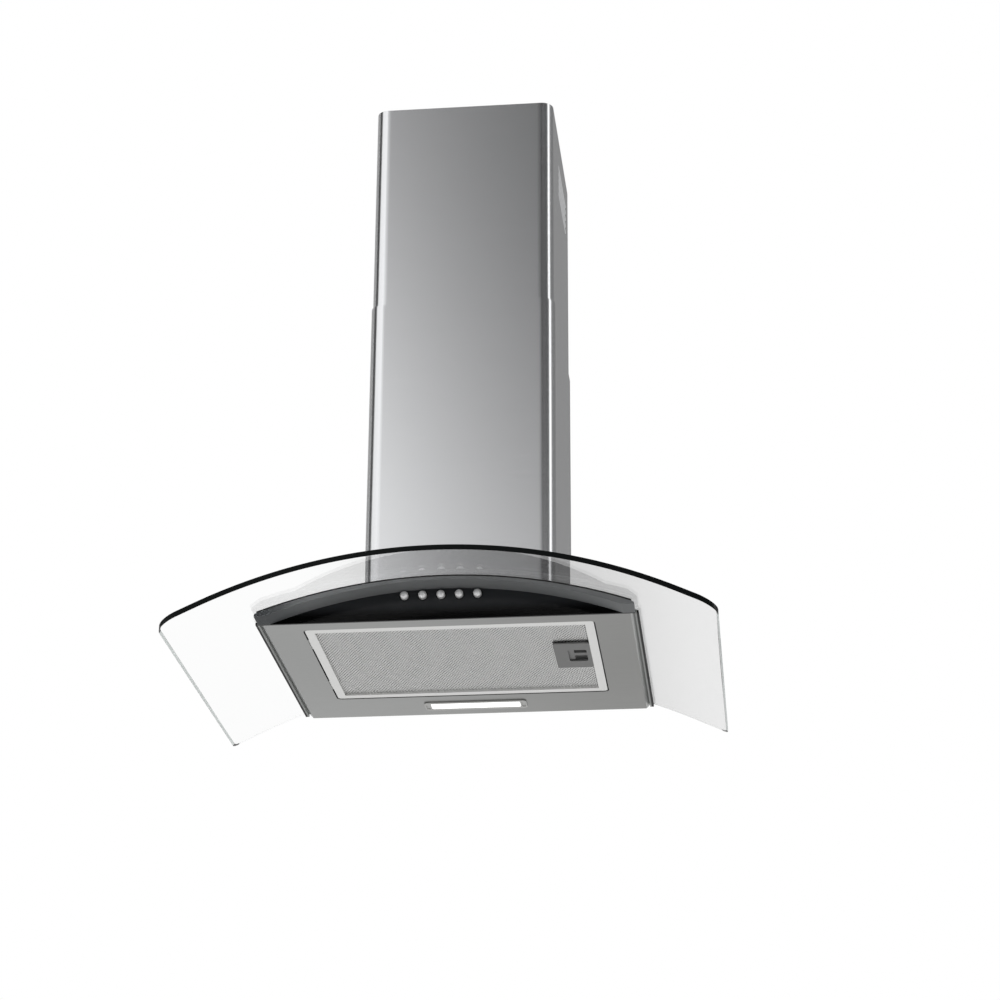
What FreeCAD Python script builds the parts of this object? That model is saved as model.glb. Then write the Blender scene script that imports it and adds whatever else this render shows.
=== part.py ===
# Wall mount range hood: a bent glass canopy over a steel pan with a grease filter and a
# lamp, a black fascia with push buttons, a telescopic flue, and the blower inside it.
# X runs to the right, Y to the wall and Z up. Heights are drawn from the pan's underside,
# and every piece is then lowered, so that the origin is at the middle of the wall holes.
import FreeCAD, Part
import math
import os
import Sketcher

LENGTHS = {
    # Clearances and the overrun of cuts
    "cut_overrun": 5,
    "seat_clearance": 0.2,
    "rest_clearance": 0.3,
    "slide_clearance": 0.4,
    "running_clearance": 0.05,
    # Glass canopy, and the bend that the pieces under it share
    "canopy_width": 600,
    "canopy_depth": 444,
    "canopy_front_radius": 22,
    "canopy_rear_radius": 5,
    "glass_thickness": 6,
    "glass_bend_radius": 610,
    "glass_bend_half": 257,
    "glass_side_height": 5.4,
    "glass_wall_gap": 21,
    "gasket_thickness": 2.5,
    "gasket_side_thickness": 0.9,
    "gasket_lip": 4.5,
    "gasket_seat": 4.5,
    "gasket_drop": 3,
    "gasket_front_width": 10,
    "gasket_front_setback": 1.5,
    # Pan
    "pan_width": 415,
    "pan_depth": 345,
    "pan_wall_gap": 17.5,
    "pan_sheet": 1,
    "pan_strip_width": 4.5,
    "deck_half_width": 202,
    "deck_sheet": 1,
    # Fascia and its buttons
    "fascia_wall": 2.5,
    "fascia_overlap": 1,
    "fascia_lip_depth": 28,
    "fascia_lip_thickness": 3.7,
    "fascia_face_half": 195,
    "fascia_corner_radius": 3,
    "button_pitch": 20.3,
    "button_row_offset": -5,
    "button_drop": 14,
    "button_radius": 4.5,
    "button_reach": 8,
    "button_dome": 3,
    "button_cap_depth": 4,
    "button_stem_radius": 2,
    "button_stem_length": 3,
    "button_travel": 3,
    "button_clearance": 0.3,
    "bezel_radius": 5.5,
    "bezel_thickness": 1,
    "switch_margin": 12,
    "switch_height": 14,
    "switch_wall": 1.5,
    "switch_board_thickness": 1.6,
    # Grease filter and its catch
    "filter_width": 322,
    "filter_depth": 235,
    "filter_front": 321,
    "filter_height": 9,
    "filter_recess": 0.5,
    "filter_gap": 1.5,
    "filter_corner_radius": 4,
    "filter_frame_width": 10,
    "filter_tab_width": 30,
    "filter_tab_reach": 9,
    "filter_tab_thickness": 1.2,
    "filter_tab_offset": 70,
    "mesh_thickness": 3,
    "mesh_pitch_x": 20,
    "mesh_pitch_y": 14,
    "mesh_strand": 3,
    "latch_plate_width": 41.5,
    "latch_plate_length": 80,
    "latch_plate_centre": 211,
    "latch_plate_thickness": 1.5,
    "latch_plate_radius": 3,
    "latch_slot_inset": 15.5,
    "latch_slot_width": 21,
    "latch_slot_length": 37,
    "latch_thumb_show": 6.5,
    "latch_thumb_length": 33,
    "latch_bar_width": 8,
    "latch_thickness": 3,
    "latch_travel": 7,
    # Lamp
    "lamp_frame_length": 123,
    "lamp_frame_width": 27,
    "lamp_frame_thickness": 1.5,
    "lamp_frame_radius": 5,
    "lamp_notch_length": 18,
    "lamp_notch_width": 4,
    "lamp_notch_inset": 2,
    "lamp_notch_radius": 1.8,
    "lamp_lens_length": 107,
    "lamp_lens_width": 19,
    "lamp_lens_thickness": 3,
    "lamp_lens_radius": 1.5,
    "lamp_reach": 51,
    "lamp_housing_height": 20,
    "lamp_housing_wall": 1.2,
    "lamp_board_height": 12,
    "lamp_board_thickness": 1.6,
    # Blower housing with the wall holes
    "blower_width": 188,
    "blower_depth": 213,
    "blower_bottom": 26,
    "blower_top": 300,
    "blower_sheet": 1.2,
    "blower_gap": 1.5,
    "wall_hole_height": 175,
    "wall_hole_radius": 4,
    "wall_hole_spacing_x": 140,
    "wall_hole_spacing_z": 100,
    "clamp_rail_width": 13,
    "clamp_rail_sheet": 1.5,
    "clamp_rail_height": 14,
    "clamp_hole_front": 170,
    "clamp_hole_rear": 60,
    "clamp_hole_radius": 3,
    "clamp_screw_radius": 2.5,
    "clamp_head_radius": 4.2,
    "clamp_head_height": 2.6,
    "clamp_screw_reach": 17,
    "clamp_pad_length": 20,
    "clamp_nut_radius": 4.6,
    "clamp_nut_height": 4,
    # Fan casing, wheel and motor
    "scroll_axis_reach": 85,
    "scroll_axis_height": 150,
    "scroll_width": 110,
    "scroll_radius": 70,
    "scroll_growth": 6,
    "scroll_tongue_gap": 9,
    "scroll_sheet": 1,
    "inlet_radius": 46,
    "inlet_lip_width": 3,
    "inlet_lip_length": 4,
    "wheel_radius": 55,
    "wheel_width": 96,
    "wheel_ring_width": 10,
    "wheel_ring_thickness": 2,
    "wheel_disc_thickness": 1.5,
    "wheel_hub_radius": 9,
    "wheel_hub_length": 14,
    "blade_thickness": 0.8,
    "blade_radius": 12,
    "shaft_radius": 4,
    "shaft_reach": 16,
    "motor_radius": 36,
    "motor_length": 62,
    "motor_gap": 8,
    "motor_edge_bevel": 5,
    "motor_boss_radius": 12,
    "motor_boss_length": 2,
    "bracket_ring_width": 5,
    "bracket_sheet": 3,
    "bracket_arm_width": 12,
    "bracket_arm_radius": 62,
    "bracket_foot_length": 8,
    # Duct collar and its flaps
    "collar_radius": 74,
    "collar_wall": 1.5,
    "collar_length": 45,
    "collar_flange_width": 8,
    "collar_flange_thickness": 1.5,
    "collar_reach": 107,
    "flap_height": 26,
    "flap_gap": 2,
    "flap_thickness": 1,
    "flap_pin_radius": 1.5,
    "flap_barrel_radius": 3,
    "flap_barrel_length": 40,
    "flap_barrel_inset": 3,
    "flap_split": 4,
    # Electrics in the blower housing
    "control_box_width": 80,
    "control_box_depth": 22,
    "control_box_height": 70,
    "control_box_bottom": 200,
    "control_box_radius": 2.5,
    "control_lid_thickness": 3,
    "control_lid_lip": 1.5,
    "capacitor_radius": 14,
    "capacitor_length": 52,
    "capacitor_offset": 66,
    "capacitor_edge_bevel": 2,
    "capacitor_terminal_radius": 3,
    "capacitor_terminal_length": 7,
    "gland_offset": 76,
    "gland_reach": 24,
    "gland_hole_radius": 5,
    "gland_nut_radius": 9,
    "gland_nut_height": 5,
    "gland_dome_radius": 7,
    "gland_dome_height": 9,
    "gland_bore_radius": 3.5,
    # Flue covers and the upper one's wall bracket
    "flue_width": 223.6,
    "flue_front_gap": 19,
    "flue_sheet": 1,
    "flue_front_radius": 16,
    "flue_return": 14,
    "flue_nest_gap": 0.6,
    "lower_flue_top": 450,
    "upper_flue_top": 724,
    "upper_flue_length": 400,
    "vent_front": 142,
    "vent_length": 109,
    "vent_first": 38,
    "vent_height": 5,
    "vent_pitch": 9.5,
    "vent_corner_radius": 2,
    "flue_bracket_drop": 30,
    "flue_bracket_height": 24,
    "flue_bracket_sheet": 1.5,
    "flue_bracket_ear": 16,
    "flue_bracket_hole_radius": 2.75,
    "flue_bracket_hole_spacing": 120,
    "flue_bracket_boss_radius": 8,
    "bracket_screw_radius": 1.9,
    "bracket_screw_clearance": 0.2,
    "bracket_screw_length": 8,
    "bracket_screw_setback": 9,
}
BUTTON_COUNT = 5
BLADE_COUNT = 28
VENT_COUNT = 5
BRACKET_ARM_COUNT = 3
FULL_TURN = 360
UPRIGHT_SHARE = 0.9
NOTCH_DEPTH_SHARE = 0.6
HEX_FLAT_SHARE = 0.866
HUB_LEFT_SHARE = 0.33
BLADE_SWEEP_SHARE = 0.3
# The points of a sketched curve, as the sketcher numbers them
START, END, CENTRE = 1, 2, 3


class Size:
    """A length or a ratio, kept as a number and as an expression on the sheet."""

    def __init__(self, value, text=None):
        self.value = float(value)
        self.text = text or f"({self.value:.10g})"

    def join(self, mark, other, swap=False):
        first, last = (as_size(other), self) if swap else (self, as_size(other))
        sums = {
            "+": lambda a, b: a + b,
            "-": lambda a, b: a - b,
            "*": lambda a, b: a * b,
            "/": lambda a, b: a / b,
        }
        return Size(sums[mark](first.value, last.value), f"({first.text} {mark} {last.text})")

    def __add__(self, other):
        return self.join("+", other)

    def __radd__(self, other):
        return self.join("+", other, swap=True)

    def __sub__(self, other):
        return self.join("-", other)

    def __rsub__(self, other):
        return self.join("-", other, swap=True)

    def __mul__(self, other):
        return self.join("*", other)

    def __rmul__(self, other):
        return self.join("*", other, swap=True)

    def __truediv__(self, other):
        return self.join("/", other)

    def __neg__(self):
        return self.join("-", 0, swap=True)


def as_size(value):
    return value if isinstance(value, Size) else Size(value)


def root(size):
    return Size(math.sqrt(size.value), f"sqrt({size.text})")


class Lengths:
    """Reads a driving dimension by its name."""

    def __getattr__(self, name):
        return Size(LENGTHS[name], "Sizes." + name)


doc = FreeCAD.newDocument("RangeHood")
sheet = doc.addObject("Spreadsheet::Sheet", "Sizes")
for row, (name, length) in enumerate(LENGTHS.items(), start=1):
    sheet.set(f"A{row}", name)
    sheet.set(f"B{row}", str(length))
    sheet.setAlias(f"B{row}", name)
doc.recompute()
size = Lengths()
sub_parts = []


def new_body(label, x=0, y=0, z=0):
    """Start a sub-part whose own origin lies at x, y and the height z over the pan's underside."""
    body = doc.addObject("PartDesign::Body", label)
    body.Label = label
    for axis, place in (("x", as_size(x)), ("y", as_size(y)), ("z", z - size.wall_hole_height)):
        body.setExpression("Placement.Base." + axis, place.text)
    sub_parts.append(body)
    return body


def sketch_on(body, role, offset=0):
    """Start a sketch on one of the body's own planes, moved along the plane's normal."""
    sketch = body.newObject("Sketcher::SketchObject", body.Label + "_sketch")
    planes = [feature for feature in body.Origin.OriginFeatures if feature.Role == role]
    sketch.AttachmentSupport = [(planes[0], "")]
    sketch.MapMode = "FlatFace"
    sketch.setExpression("AttachmentOffset.Base.z", as_size(offset).text)
    return sketch


def bind(sketch, constraint, length):
    name = f"size_{constraint}"
    sketch.renameConstraint(constraint, name)
    sketch.setExpression("Constraints." + name, length.text)


def pin(sketch, curve, end, x, y):
    """Hold a curve's end, or a circle's centre, at x and y from the sketch's origin."""
    for kind, length in (("DistanceX", as_size(x)), ("DistanceY", as_size(y))):
        constraint = Sketcher.Constraint(kind, -1, 1, curve, end, length.value)
        bind(sketch, sketch.addConstraint(constraint), length)


def bend_radius(sketch, curve, radius):
    constraint = Sketcher.Constraint("Radius", curve, radius.value)
    bind(sketch, sketch.addConstraint(constraint), radius)


def arc_between(start, end, bend):
    """An arc of less than half a circle; a positive bend turns anticlockwise."""
    chord = end - start
    side = FreeCAD.Vector(-chord.y, chord.x, 0).normalize() * math.copysign(1, bend)
    centre = (start + end) / 2 + side * math.sqrt(bend ** 2 - (chord.Length / 2) ** 2)
    first, last = (start, end) if bend > 0 else (end, start)
    angles = [math.atan2(p.y - centre.y, p.x - centre.x) for p in (first, last)]
    if angles[1] < angles[0]:
        angles[1] += math.tau
    return Part.ArcOfCircle(Part.Circle(centre, FreeCAD.Vector(0, 0, 1), abs(bend)), *angles)


def trace(sketch, corners):
    """Draw a closed outline; a third value at a corner bends the way to the next corner."""
    first = sketch.GeometryCount
    points = [FreeCAD.Vector(as_size(c[0]).value, as_size(c[1]).value, 0) for c in corners]
    bends = [c[2] if len(c) > 2 else None for c in corners]
    heads = [END if bend is not None and bend.value < 0 else START for bend in bends]
    tails = [START if head == END else END for head in heads]
    for index, bend in enumerate(bends):
        start, end = points[index], points[(index + 1) % len(points)]
        straight = bend is None
        curve = Part.LineSegment(start, end) if straight else arc_between(start, end, bend.value)
        sketch.addGeometry(curve, False)
    for index, bend in enumerate(bends):
        following = (index + 1) % len(corners)
        pin(sketch, first + index, heads[index], corners[index][0], corners[index][1])
        ends = (first + index, tails[index], first + following, heads[following])
        sketch.addConstraint(Sketcher.Constraint("Coincident", *ends))
        if bend is not None:
            bend_radius(sketch, first + index, bend if bend.value > 0 else -bend)


def circle(sketch, x, y, radius):
    centre = FreeCAD.Vector(as_size(x).value, as_size(y).value, 0)
    curve = sketch.addGeometry(Part.Circle(centre, FreeCAD.Vector(0, 0, 1), radius.value), False)
    pin(sketch, curve, CENTRE, x, y)
    bend_radius(sketch, curve, radius)


def rectangle(left, low, right, high):
    return [(left, low), (right, low), (right, high), (left, high)]


def rounded(left, low, right, high, radius):
    return [
        (left + radius, low), (right - radius, low, radius),
        (right, low + radius), (right, high - radius, radius),
        (right - radius, high), (left + radius, high, radius),
        (left, high - radius), (left, low + radius, radius),
    ]


def pad(body, sketch, length, symmetric=False, back=False):
    feature = body.newObject("PartDesign::Pad", body.Label + "_pad")
    feature.Profile = sketch
    feature.setExpression("Length", length.text)
    feature.SideType = "Symmetric" if symmetric else "One side"
    feature.Reversed = back
    return feature


def pocket(body, sketch, length=None, back=False):
    """Cut a sketch to a depth, or right through both ways where no depth is given."""
    feature = body.newObject("PartDesign::Pocket", body.Label + "_pocket")
    feature.Profile = sketch
    if length is None:
        feature.Type = "ThroughAll"
        feature.SideType = "Symmetric"
    else:
        feature.setExpression("Length", length.text)
        feature.Reversed = back
    return feature


def revolve(body, sketch, axis):
    feature = body.newObject("PartDesign::Revolution", body.Label + "_revolution")
    feature.Profile = sketch
    feature.ReferenceAxis = (sketch, [axis])
    feature.Angle = FULL_TURN
    return feature


def axis_of(body, role):
    return [feature for feature in body.Origin.OriginFeatures if feature.Role == role][0]


def around(body, features, role, count):
    pattern = body.newObject("PartDesign::PolarPattern", body.Label + "_polar")
    pattern.Originals = features
    pattern.Axis = (axis_of(body, role), [""])
    pattern.Angle = FULL_TURN
    pattern.Occurrences = count
    body.Tip = pattern


def along(body, features, role, pitch, count, back=False):
    pattern = body.newObject("PartDesign::LinearPattern", body.Label + "_row")
    pattern.Originals = features
    pattern.Direction = (axis_of(body, role), [""])
    pattern.setExpression("Length", (pitch * (count - 1)).text)
    pattern.Occurrences = count
    pattern.Reversed = back
    body.Tip = pattern
    return pattern


def round_edges(body, feature, radius, chosen):
    """Fillet the edges whose middle point passes the test."""
    doc.recompute()
    names = []
    for number, edge in enumerate(feature.Shape.Edges, start=1):
        middle = edge.valueAt((edge.FirstParameter + edge.LastParameter) / 2)
        if chosen(edge, middle):
            names.append(f"Edge{number}")
    fillet = body.newObject("PartDesign::Fillet", body.Label + "_fillet")
    fillet.Base = (feature, names)
    fillet.setExpression("Radius", radius.text)
    return fillet


def stands(edge):
    return abs(edge.tangentAt(edge.FirstParameter).z) > UPRIGHT_SHARE


# The bend's centre line, and heights on circles about it
pan_half = size.pan_width / 2
glass_under = size.glass_bend_radius
glass_over = glass_under + size.glass_thickness
seat_over = glass_under - size.gasket_thickness
bend_centre = size.glass_side_height - root(glass_under * glass_under - pan_half * pan_half)
crown_height = bend_centre + glass_under
bend_drop = root(glass_under * glass_under - size.glass_bend_half * size.glass_bend_half)
wing_slope = size.glass_bend_half / bend_drop


def arch(radius, x):
    return bend_centre + root(radius * radius - x * x)


def arch_strip(low, high, left, right):
    return [(left, arch(low, left), -low), (right, arch(low, right)),
            (right, arch(high, right), high), (left, arch(high, left))]


def wing(x):
    """Height of the glass's underside beyond the bend, where it runs straight."""
    return arch(glass_under, size.glass_bend_half) - (x - size.glass_bend_half) * wing_slope


canopy_half = size.canopy_width / 2
blower_half = size.blower_width / 2
notch_half = blower_half + size.blower_gap
notch_reach = size.blower_depth + size.blower_gap
pan_inner_reach = size.pan_depth - size.fascia_wall
rail_inner = blower_half + size.seat_clearance
rail_outer = rail_inner + size.clamp_rail_width
clamp_x = (rail_inner + size.clamp_rail_sheet + rail_outer) / 2
clamp_places = [(side * clamp_x, -reach) for side in (-1, 1)
                for reach in (size.clamp_hole_front, size.clamp_hole_rear)]

# Glass canopy: a plan outline with rounded corners and a notch for the blower, cut to the
# bent sheet above and below, with holes for the clamp screws
glass = new_body("glass_canopy")
glass_low = wing(canopy_half) - size.glass_thickness - size.cut_overrun
glass_high = crown_height + size.glass_thickness + size.cut_overrun
outline = sketch_on(glass, "XY_Plane", glass_low)
trace(outline, [
    (-canopy_half, -size.canopy_depth), (canopy_half, -size.canopy_depth),
    (canopy_half, -size.glass_wall_gap), (notch_half, -size.glass_wall_gap),
    (notch_half, -notch_reach), (-notch_half, -notch_reach),
    (-notch_half, -size.glass_wall_gap), (-canopy_half, -size.glass_wall_gap),
])
slab = pad(glass, outline, glass_high - glass_low)
edge_zone = canopy_half.value - size.cut_overrun.value
slab = round_edges(glass, slab, size.canopy_front_radius, lambda edge, at: (
    stands(edge) and abs(at.x) > edge_zone and at.y < -notch_reach.value))
slab = round_edges(glass, slab, size.canopy_rear_radius, lambda edge, at: (
    stands(edge) and abs(at.x) > edge_zone and at.y > -notch_reach.value))
sheet_cut = sketch_on(glass, "XZ_Plane")
cut_half = canopy_half + size.cut_overrun
wing_over = wing(cut_half) + size.glass_thickness * glass_under / bend_drop
bend_over_half = size.glass_bend_half * glass_over / glass_under
bend_over_end = arch(glass_over, bend_over_half)
bend_end = arch(glass_under, size.glass_bend_half)
trace(sheet_cut, [
    (-cut_half, wing_over), (-bend_over_half, bend_over_end, -glass_over),
    (bend_over_half, bend_over_end), (cut_half, wing_over),
    (cut_half, glass_high + size.cut_overrun), (-cut_half, glass_high + size.cut_overrun),
])
trace(sheet_cut, [
    (-cut_half, wing(cut_half)), (-size.glass_bend_half, bend_end, -glass_under),
    (size.glass_bend_half, bend_end), (cut_half, wing(cut_half)),
    (cut_half, glass_low - size.cut_overrun), (-cut_half, glass_low - size.cut_overrun),
])
pocket(glass, sheet_cut)
holes = sketch_on(glass, "XY_Plane")
for x, y in clamp_places:
    circle(holes, x, y, size.clamp_hole_radius)
pocket(glass, holes)

# Gaskets: a lipped strip along each side of the pan, a strip on the fascia's lip, and a
# pad under the glass at each clamp screw
gaskets = new_body("glass_gaskets")
strip_inner = pan_half - size.gasket_seat
strip_outer = pan_half + size.gasket_lip
strip_wall = pan_half + size.seat_clearance
pan_side_height = size.glass_side_height - size.gasket_side_thickness
strip_floor = pan_side_height + size.seat_clearance
lip_floor = arch(glass_under, strip_outer) - size.gasket_drop
for side in (-1, 1):
    strip = sketch_on(gaskets, "XZ_Plane", size.glass_wall_gap)
    trace(strip, [
        (side * strip_inner, strip_floor), (side * strip_wall, strip_floor),
        (side * strip_wall, lip_floor), (side * strip_outer, lip_floor),
        (side * strip_outer, arch(glass_under, strip_outer) - size.seat_clearance),
        (side * strip_inner, arch(glass_under, strip_inner) - size.seat_clearance),
    ])
    pad(gaskets, strip, pan_inner_reach - size.glass_wall_gap)
lip_front = size.pan_depth + size.fascia_lip_depth
lip_half = pan_half + size.fascia_overlap
gasket_low = seat_over + size.seat_clearance
gasket_high = glass_under - size.seat_clearance
front_half = lip_half - size.fascia_corner_radius
front_rear = lip_front - size.gasket_front_setback - size.gasket_front_width
front_strip = sketch_on(gaskets, "XZ_Plane", front_rear)
trace(front_strip, arch_strip(gasket_low, gasket_high, -front_half, front_half))
pad(gaskets, front_strip, size.gasket_front_width)
for x, y in clamp_places:
    clamp_pad = sketch_on(gaskets, "XZ_Plane", -y - size.clamp_pad_length / 2)
    pad_half = size.clamp_hole_radius
    for left, right in ((x - 2 * pad_half, x - pad_half), (x + pad_half, x + 2 * pad_half)):
        trace(clamp_pad, arch_strip(gasket_low, gasket_high, left, right))
    pad(gaskets, clamp_pad, size.clamp_pad_length)

# Pan: one folded sheet with slanted side strips and an arched rear upstand, which stops
# beside the blower housing, and with the filter and lamp openings
pan = new_body("bottom_pan")
flat_half = pan_half - size.pan_strip_width
strip_slope = size.pan_strip_width / pan_side_height
strip_sheet = size.pan_sheet * root(as_size(1) + strip_slope * strip_slope)
inner_half = pan_half - strip_sheet
inner_flat = flat_half - strip_sheet + size.pan_sheet * strip_slope
tray = sketch_on(pan, "XZ_Plane", size.pan_wall_gap)
trace(tray, [
    (-pan_half, pan_side_height), (-flat_half, 0), (flat_half, 0), (pan_half, pan_side_height),
    (inner_half, pan_side_height), (inner_flat, size.pan_sheet),
    (-inner_flat, size.pan_sheet), (-inner_half, pan_side_height),
])
pad(pan, tray, pan_inner_reach - size.pan_wall_gap)
deck_under = seat_over - size.deck_sheet
upstand_top = deck_under - size.seat_clearance
notch_floor = size.blower_bottom - size.blower_gap
upstand = sketch_on(pan, "XZ_Plane", size.pan_wall_gap)
trace(upstand, [
    (-size.deck_half_width, 0), (size.deck_half_width, 0),
    (size.deck_half_width, arch(upstand_top, size.deck_half_width), upstand_top),
    (notch_half, arch(upstand_top, notch_half)), (notch_half, notch_floor), (-notch_half, notch_floor),
    (-notch_half, arch(upstand_top, notch_half), upstand_top),
    (-size.deck_half_width, arch(upstand_top, size.deck_half_width)),
])
pad(pan, upstand, size.pan_sheet)
filter_half = size.filter_width / 2
filter_rear = size.filter_front - size.filter_depth
lens_half = size.lamp_lens_length / 2
lens_deep = size.lamp_lens_width / 2
openings = sketch_on(pan, "XY_Plane")
trace(openings, rounded(
    -filter_half - size.filter_gap, -size.filter_front - size.filter_gap,
    filter_half + size.filter_gap, size.filter_gap - filter_rear,
    size.filter_corner_radius + size.filter_gap))
trace(openings, rounded(
    -lens_half - size.seat_clearance, -size.lamp_reach - lens_deep - size.seat_clearance,
    lens_half + size.seat_clearance, lens_deep + size.seat_clearance - size.lamp_reach,
    size.lamp_lens_radius))
pocket(pan, openings)

# Deck: the arched plate under the glass, open to the blower housing
deck = new_body("top_deck")
deck_plate = sketch_on(deck, "XZ_Plane", size.pan_wall_gap)
trace(deck_plate, arch_strip(deck_under, seat_over, -size.deck_half_width, size.deck_half_width))
pad(deck, deck_plate, pan_inner_reach - size.pan_wall_gap - size.seat_clearance)
deck_cut = sketch_on(deck, "XY_Plane")
trace(deck_cut, rectangle(-notch_half, -notch_reach, notch_half, size.cut_overrun))
for x, y in clamp_places:
    circle(deck_cut, x, y, size.clamp_hole_radius)
pocket(deck, deck_cut)

# Fascia: an upright front with an arched top, and over it a lip that follows the glass
# forward and is thickest where the arch meets the pan's level
fascia = new_body("front_fascia")
corner = size.fascia_corner_radius
lip_plan = sketch_on(fascia, "XY_Plane")
trace(lip_plan, [
    (-lip_half, -pan_inner_reach), (-lip_half, corner - lip_front, corner), (corner - lip_half, -lip_front),
    (lip_half - corner, -lip_front, corner), (lip_half, corner - lip_front), (lip_half, -pan_inner_reach),
])
pad(fascia, lip_plan, crown_height)
lip_wide = lip_half + size.cut_overrun
lip_roof = crown_height + size.cut_overrun
face_half = size.fascia_face_half
face_rise = crown_height - size.gasket_thickness - size.fascia_lip_thickness
face_bend = (face_half * face_half + face_rise * face_rise) / (2 * face_rise)
lip_cut = sketch_on(fascia, "XZ_Plane")
trace(lip_cut, [
    (-lip_wide, arch(seat_over, lip_wide), -seat_over), (lip_wide, arch(seat_over, lip_wide)),
    (lip_wide, lip_roof), (-lip_wide, lip_roof),
])
trace(lip_cut, [
    (-face_half, 0, -face_bend), (face_half, 0),
    (face_half, -size.cut_overrun), (-face_half, -size.cut_overrun),
])
pocket(fascia, lip_cut)
face = sketch_on(fascia, "XZ_Plane", pan_inner_reach)
trace(face, [(-face_half, 0), (face_half, 0, face_bend)])
pad(fascia, face, size.fascia_wall)
button_height = crown_height - size.button_drop
button_hole = size.button_radius + size.button_clearance
button_places = [size.button_row_offset + size.button_pitch * (number - (BUTTON_COUNT - 1) / 2)
                 for number in range(BUTTON_COUNT)]
button_holes = sketch_on(fascia, "XZ_Plane", size.pan_depth)
for x in button_places:
    circle(button_holes, x, button_height, button_hole)
pocket(fascia, button_holes)

# Rings round the buttons, on the fascia
bezels = new_body("button_bezels", y=-size.pan_depth)
rings = sketch_on(bezels, "XZ_Plane")
for x in button_places:
    circle(rings, x, button_height, size.bezel_radius)
    circle(rings, x, button_height, button_hole)
pad(bezels, rings, size.bezel_thickness)

# Buttons: turned caps with a domed end and a stem to the switch
dome_radius = (size.button_radius * size.button_radius + size.button_dome * size.button_dome) / (
    2 * size.button_dome)
stem_end = size.button_cap_depth + size.button_stem_length
for number, x in enumerate(button_places, start=1):
    button = new_body(f"button_{number}", x=x, y=-size.pan_depth, z=button_height)
    profile = sketch_on(button, "YZ_Plane")
    trace(profile, [
        (stem_end, 0), (stem_end, size.button_stem_radius), (size.button_cap_depth, size.button_stem_radius),
        (size.button_cap_depth, size.button_radius),
        (size.button_dome - size.button_reach, size.button_radius, dome_radius), (-size.button_reach, 0),
    ])
    revolve(button, profile, "H_Axis")

# Switch block behind the buttons: a tray against the fascia, with its board at the back
switch_half = size.button_pitch * (BUTTON_COUNT - 1) / 2 + size.switch_margin
board_front = stem_end + size.button_travel + size.button_clearance
board_back = board_front + size.switch_board_thickness
switch_left = size.button_row_offset - switch_half
switch_right = size.button_row_offset + switch_half
switch_low = button_height - size.switch_height / 2
switch_high = button_height + size.switch_height / 2
switch = new_body("switch_housing", y=-size.pan_depth)
shell = sketch_on(switch, "XZ_Plane", -board_back - size.switch_wall)
trace(shell, rectangle(switch_left, switch_low, switch_right, switch_high))
pad(switch, shell, board_back + size.switch_wall - size.fascia_wall)
hollow = sketch_on(switch, "XZ_Plane", -size.fascia_wall)
trace(hollow, rectangle(switch_left + size.switch_wall, switch_low + size.switch_wall,
                        switch_right - size.switch_wall, switch_high - size.switch_wall))
pocket(switch, hollow, board_back - size.fascia_wall)
board = new_body("switch_board", y=-size.pan_depth)
board_gap = size.switch_wall + size.seat_clearance
plate = sketch_on(board, "XZ_Plane", -board_back)
trace(plate, rectangle(switch_left + board_gap, switch_low + board_gap,
                       switch_right - board_gap, switch_high - board_gap))
pad(board, plate, size.switch_board_thickness)

# Filter frame: a channel round the mesh, two tabs that rest on the pan at the left, and a
# slot for the catch at the right
filter_low = size.filter_recess
filter_high = size.filter_recess + size.filter_height
mesh_half = filter_half - size.filter_frame_width
mesh_front = size.filter_front - size.filter_frame_width
mesh_rear = filter_rear + size.filter_frame_width
latch_low = size.filter_recess + size.latch_plate_thickness + size.slide_clearance
latch_bar_half = size.latch_bar_width / 2
filter_centre = -(size.filter_front + filter_rear) / 2
frame = new_body("filter_frame")
channel = sketch_on(frame, "XY_Plane", filter_low)
trace(channel, rounded(
    -filter_half, -size.filter_front, filter_half, -filter_rear, size.filter_corner_radius))
trace(channel, rectangle(-mesh_half, -mesh_front, mesh_half, -mesh_rear))
pad(frame, channel, size.filter_height)
tab_low = size.pan_sheet + size.rest_clearance
for side in (-1, 1):
    tab = sketch_on(frame, "XY_Plane", tab_low)
    tab_middle = filter_centre + side * size.filter_tab_offset
    trace(tab, rectangle(-filter_half - size.filter_tab_reach, tab_middle - size.filter_tab_width / 2,
                         size.filter_corner_radius - filter_half, tab_middle + size.filter_tab_width / 2))
    pad(frame, tab, size.filter_tab_thickness)
bar_slot = sketch_on(frame, "XY_Plane", latch_low + size.latch_thickness + size.slide_clearance)
trace(bar_slot, rectangle(
    mesh_half - size.cut_overrun, -size.latch_plate_centre - latch_bar_half - size.slide_clearance,
    filter_half + size.cut_overrun, latch_bar_half + size.slide_clearance - size.latch_plate_centre))
pocket(frame, bar_slot, size.latch_thickness + 2 * size.slide_clearance)

# Filter mesh: a sheet of diamond openings, in one field beside the catch, one in front of it
# and one behind it, cut away at the catch
plate_left = mesh_half - size.latch_plate_width
plate_front = size.latch_plate_centre + size.latch_plate_length / 2
plate_rear = size.latch_plate_centre - size.latch_plate_length / 2
mesh = new_body("filter_mesh")
mesh_top = latch_low + size.latch_thickness + size.slide_clearance
mesh_sheet = sketch_on(mesh, "XY_Plane", mesh_top - size.mesh_thickness)
trace(mesh_sheet, rectangle(-mesh_half, -mesh_front, mesh_half, -mesh_rear))
pad(mesh, mesh_sheet, size.mesh_thickness)
catch_gap = sketch_on(mesh, "XY_Plane")
trace(catch_gap, rectangle(plate_left, -plate_front, mesh_half + size.cut_overrun, -plate_rear))
pocket(mesh, catch_gap)
cell_half_x = size.mesh_pitch_x / 2 - size.mesh_strand / 2
cell_half_y = size.mesh_pitch_y / 2 - size.mesh_strand / 2
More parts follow.
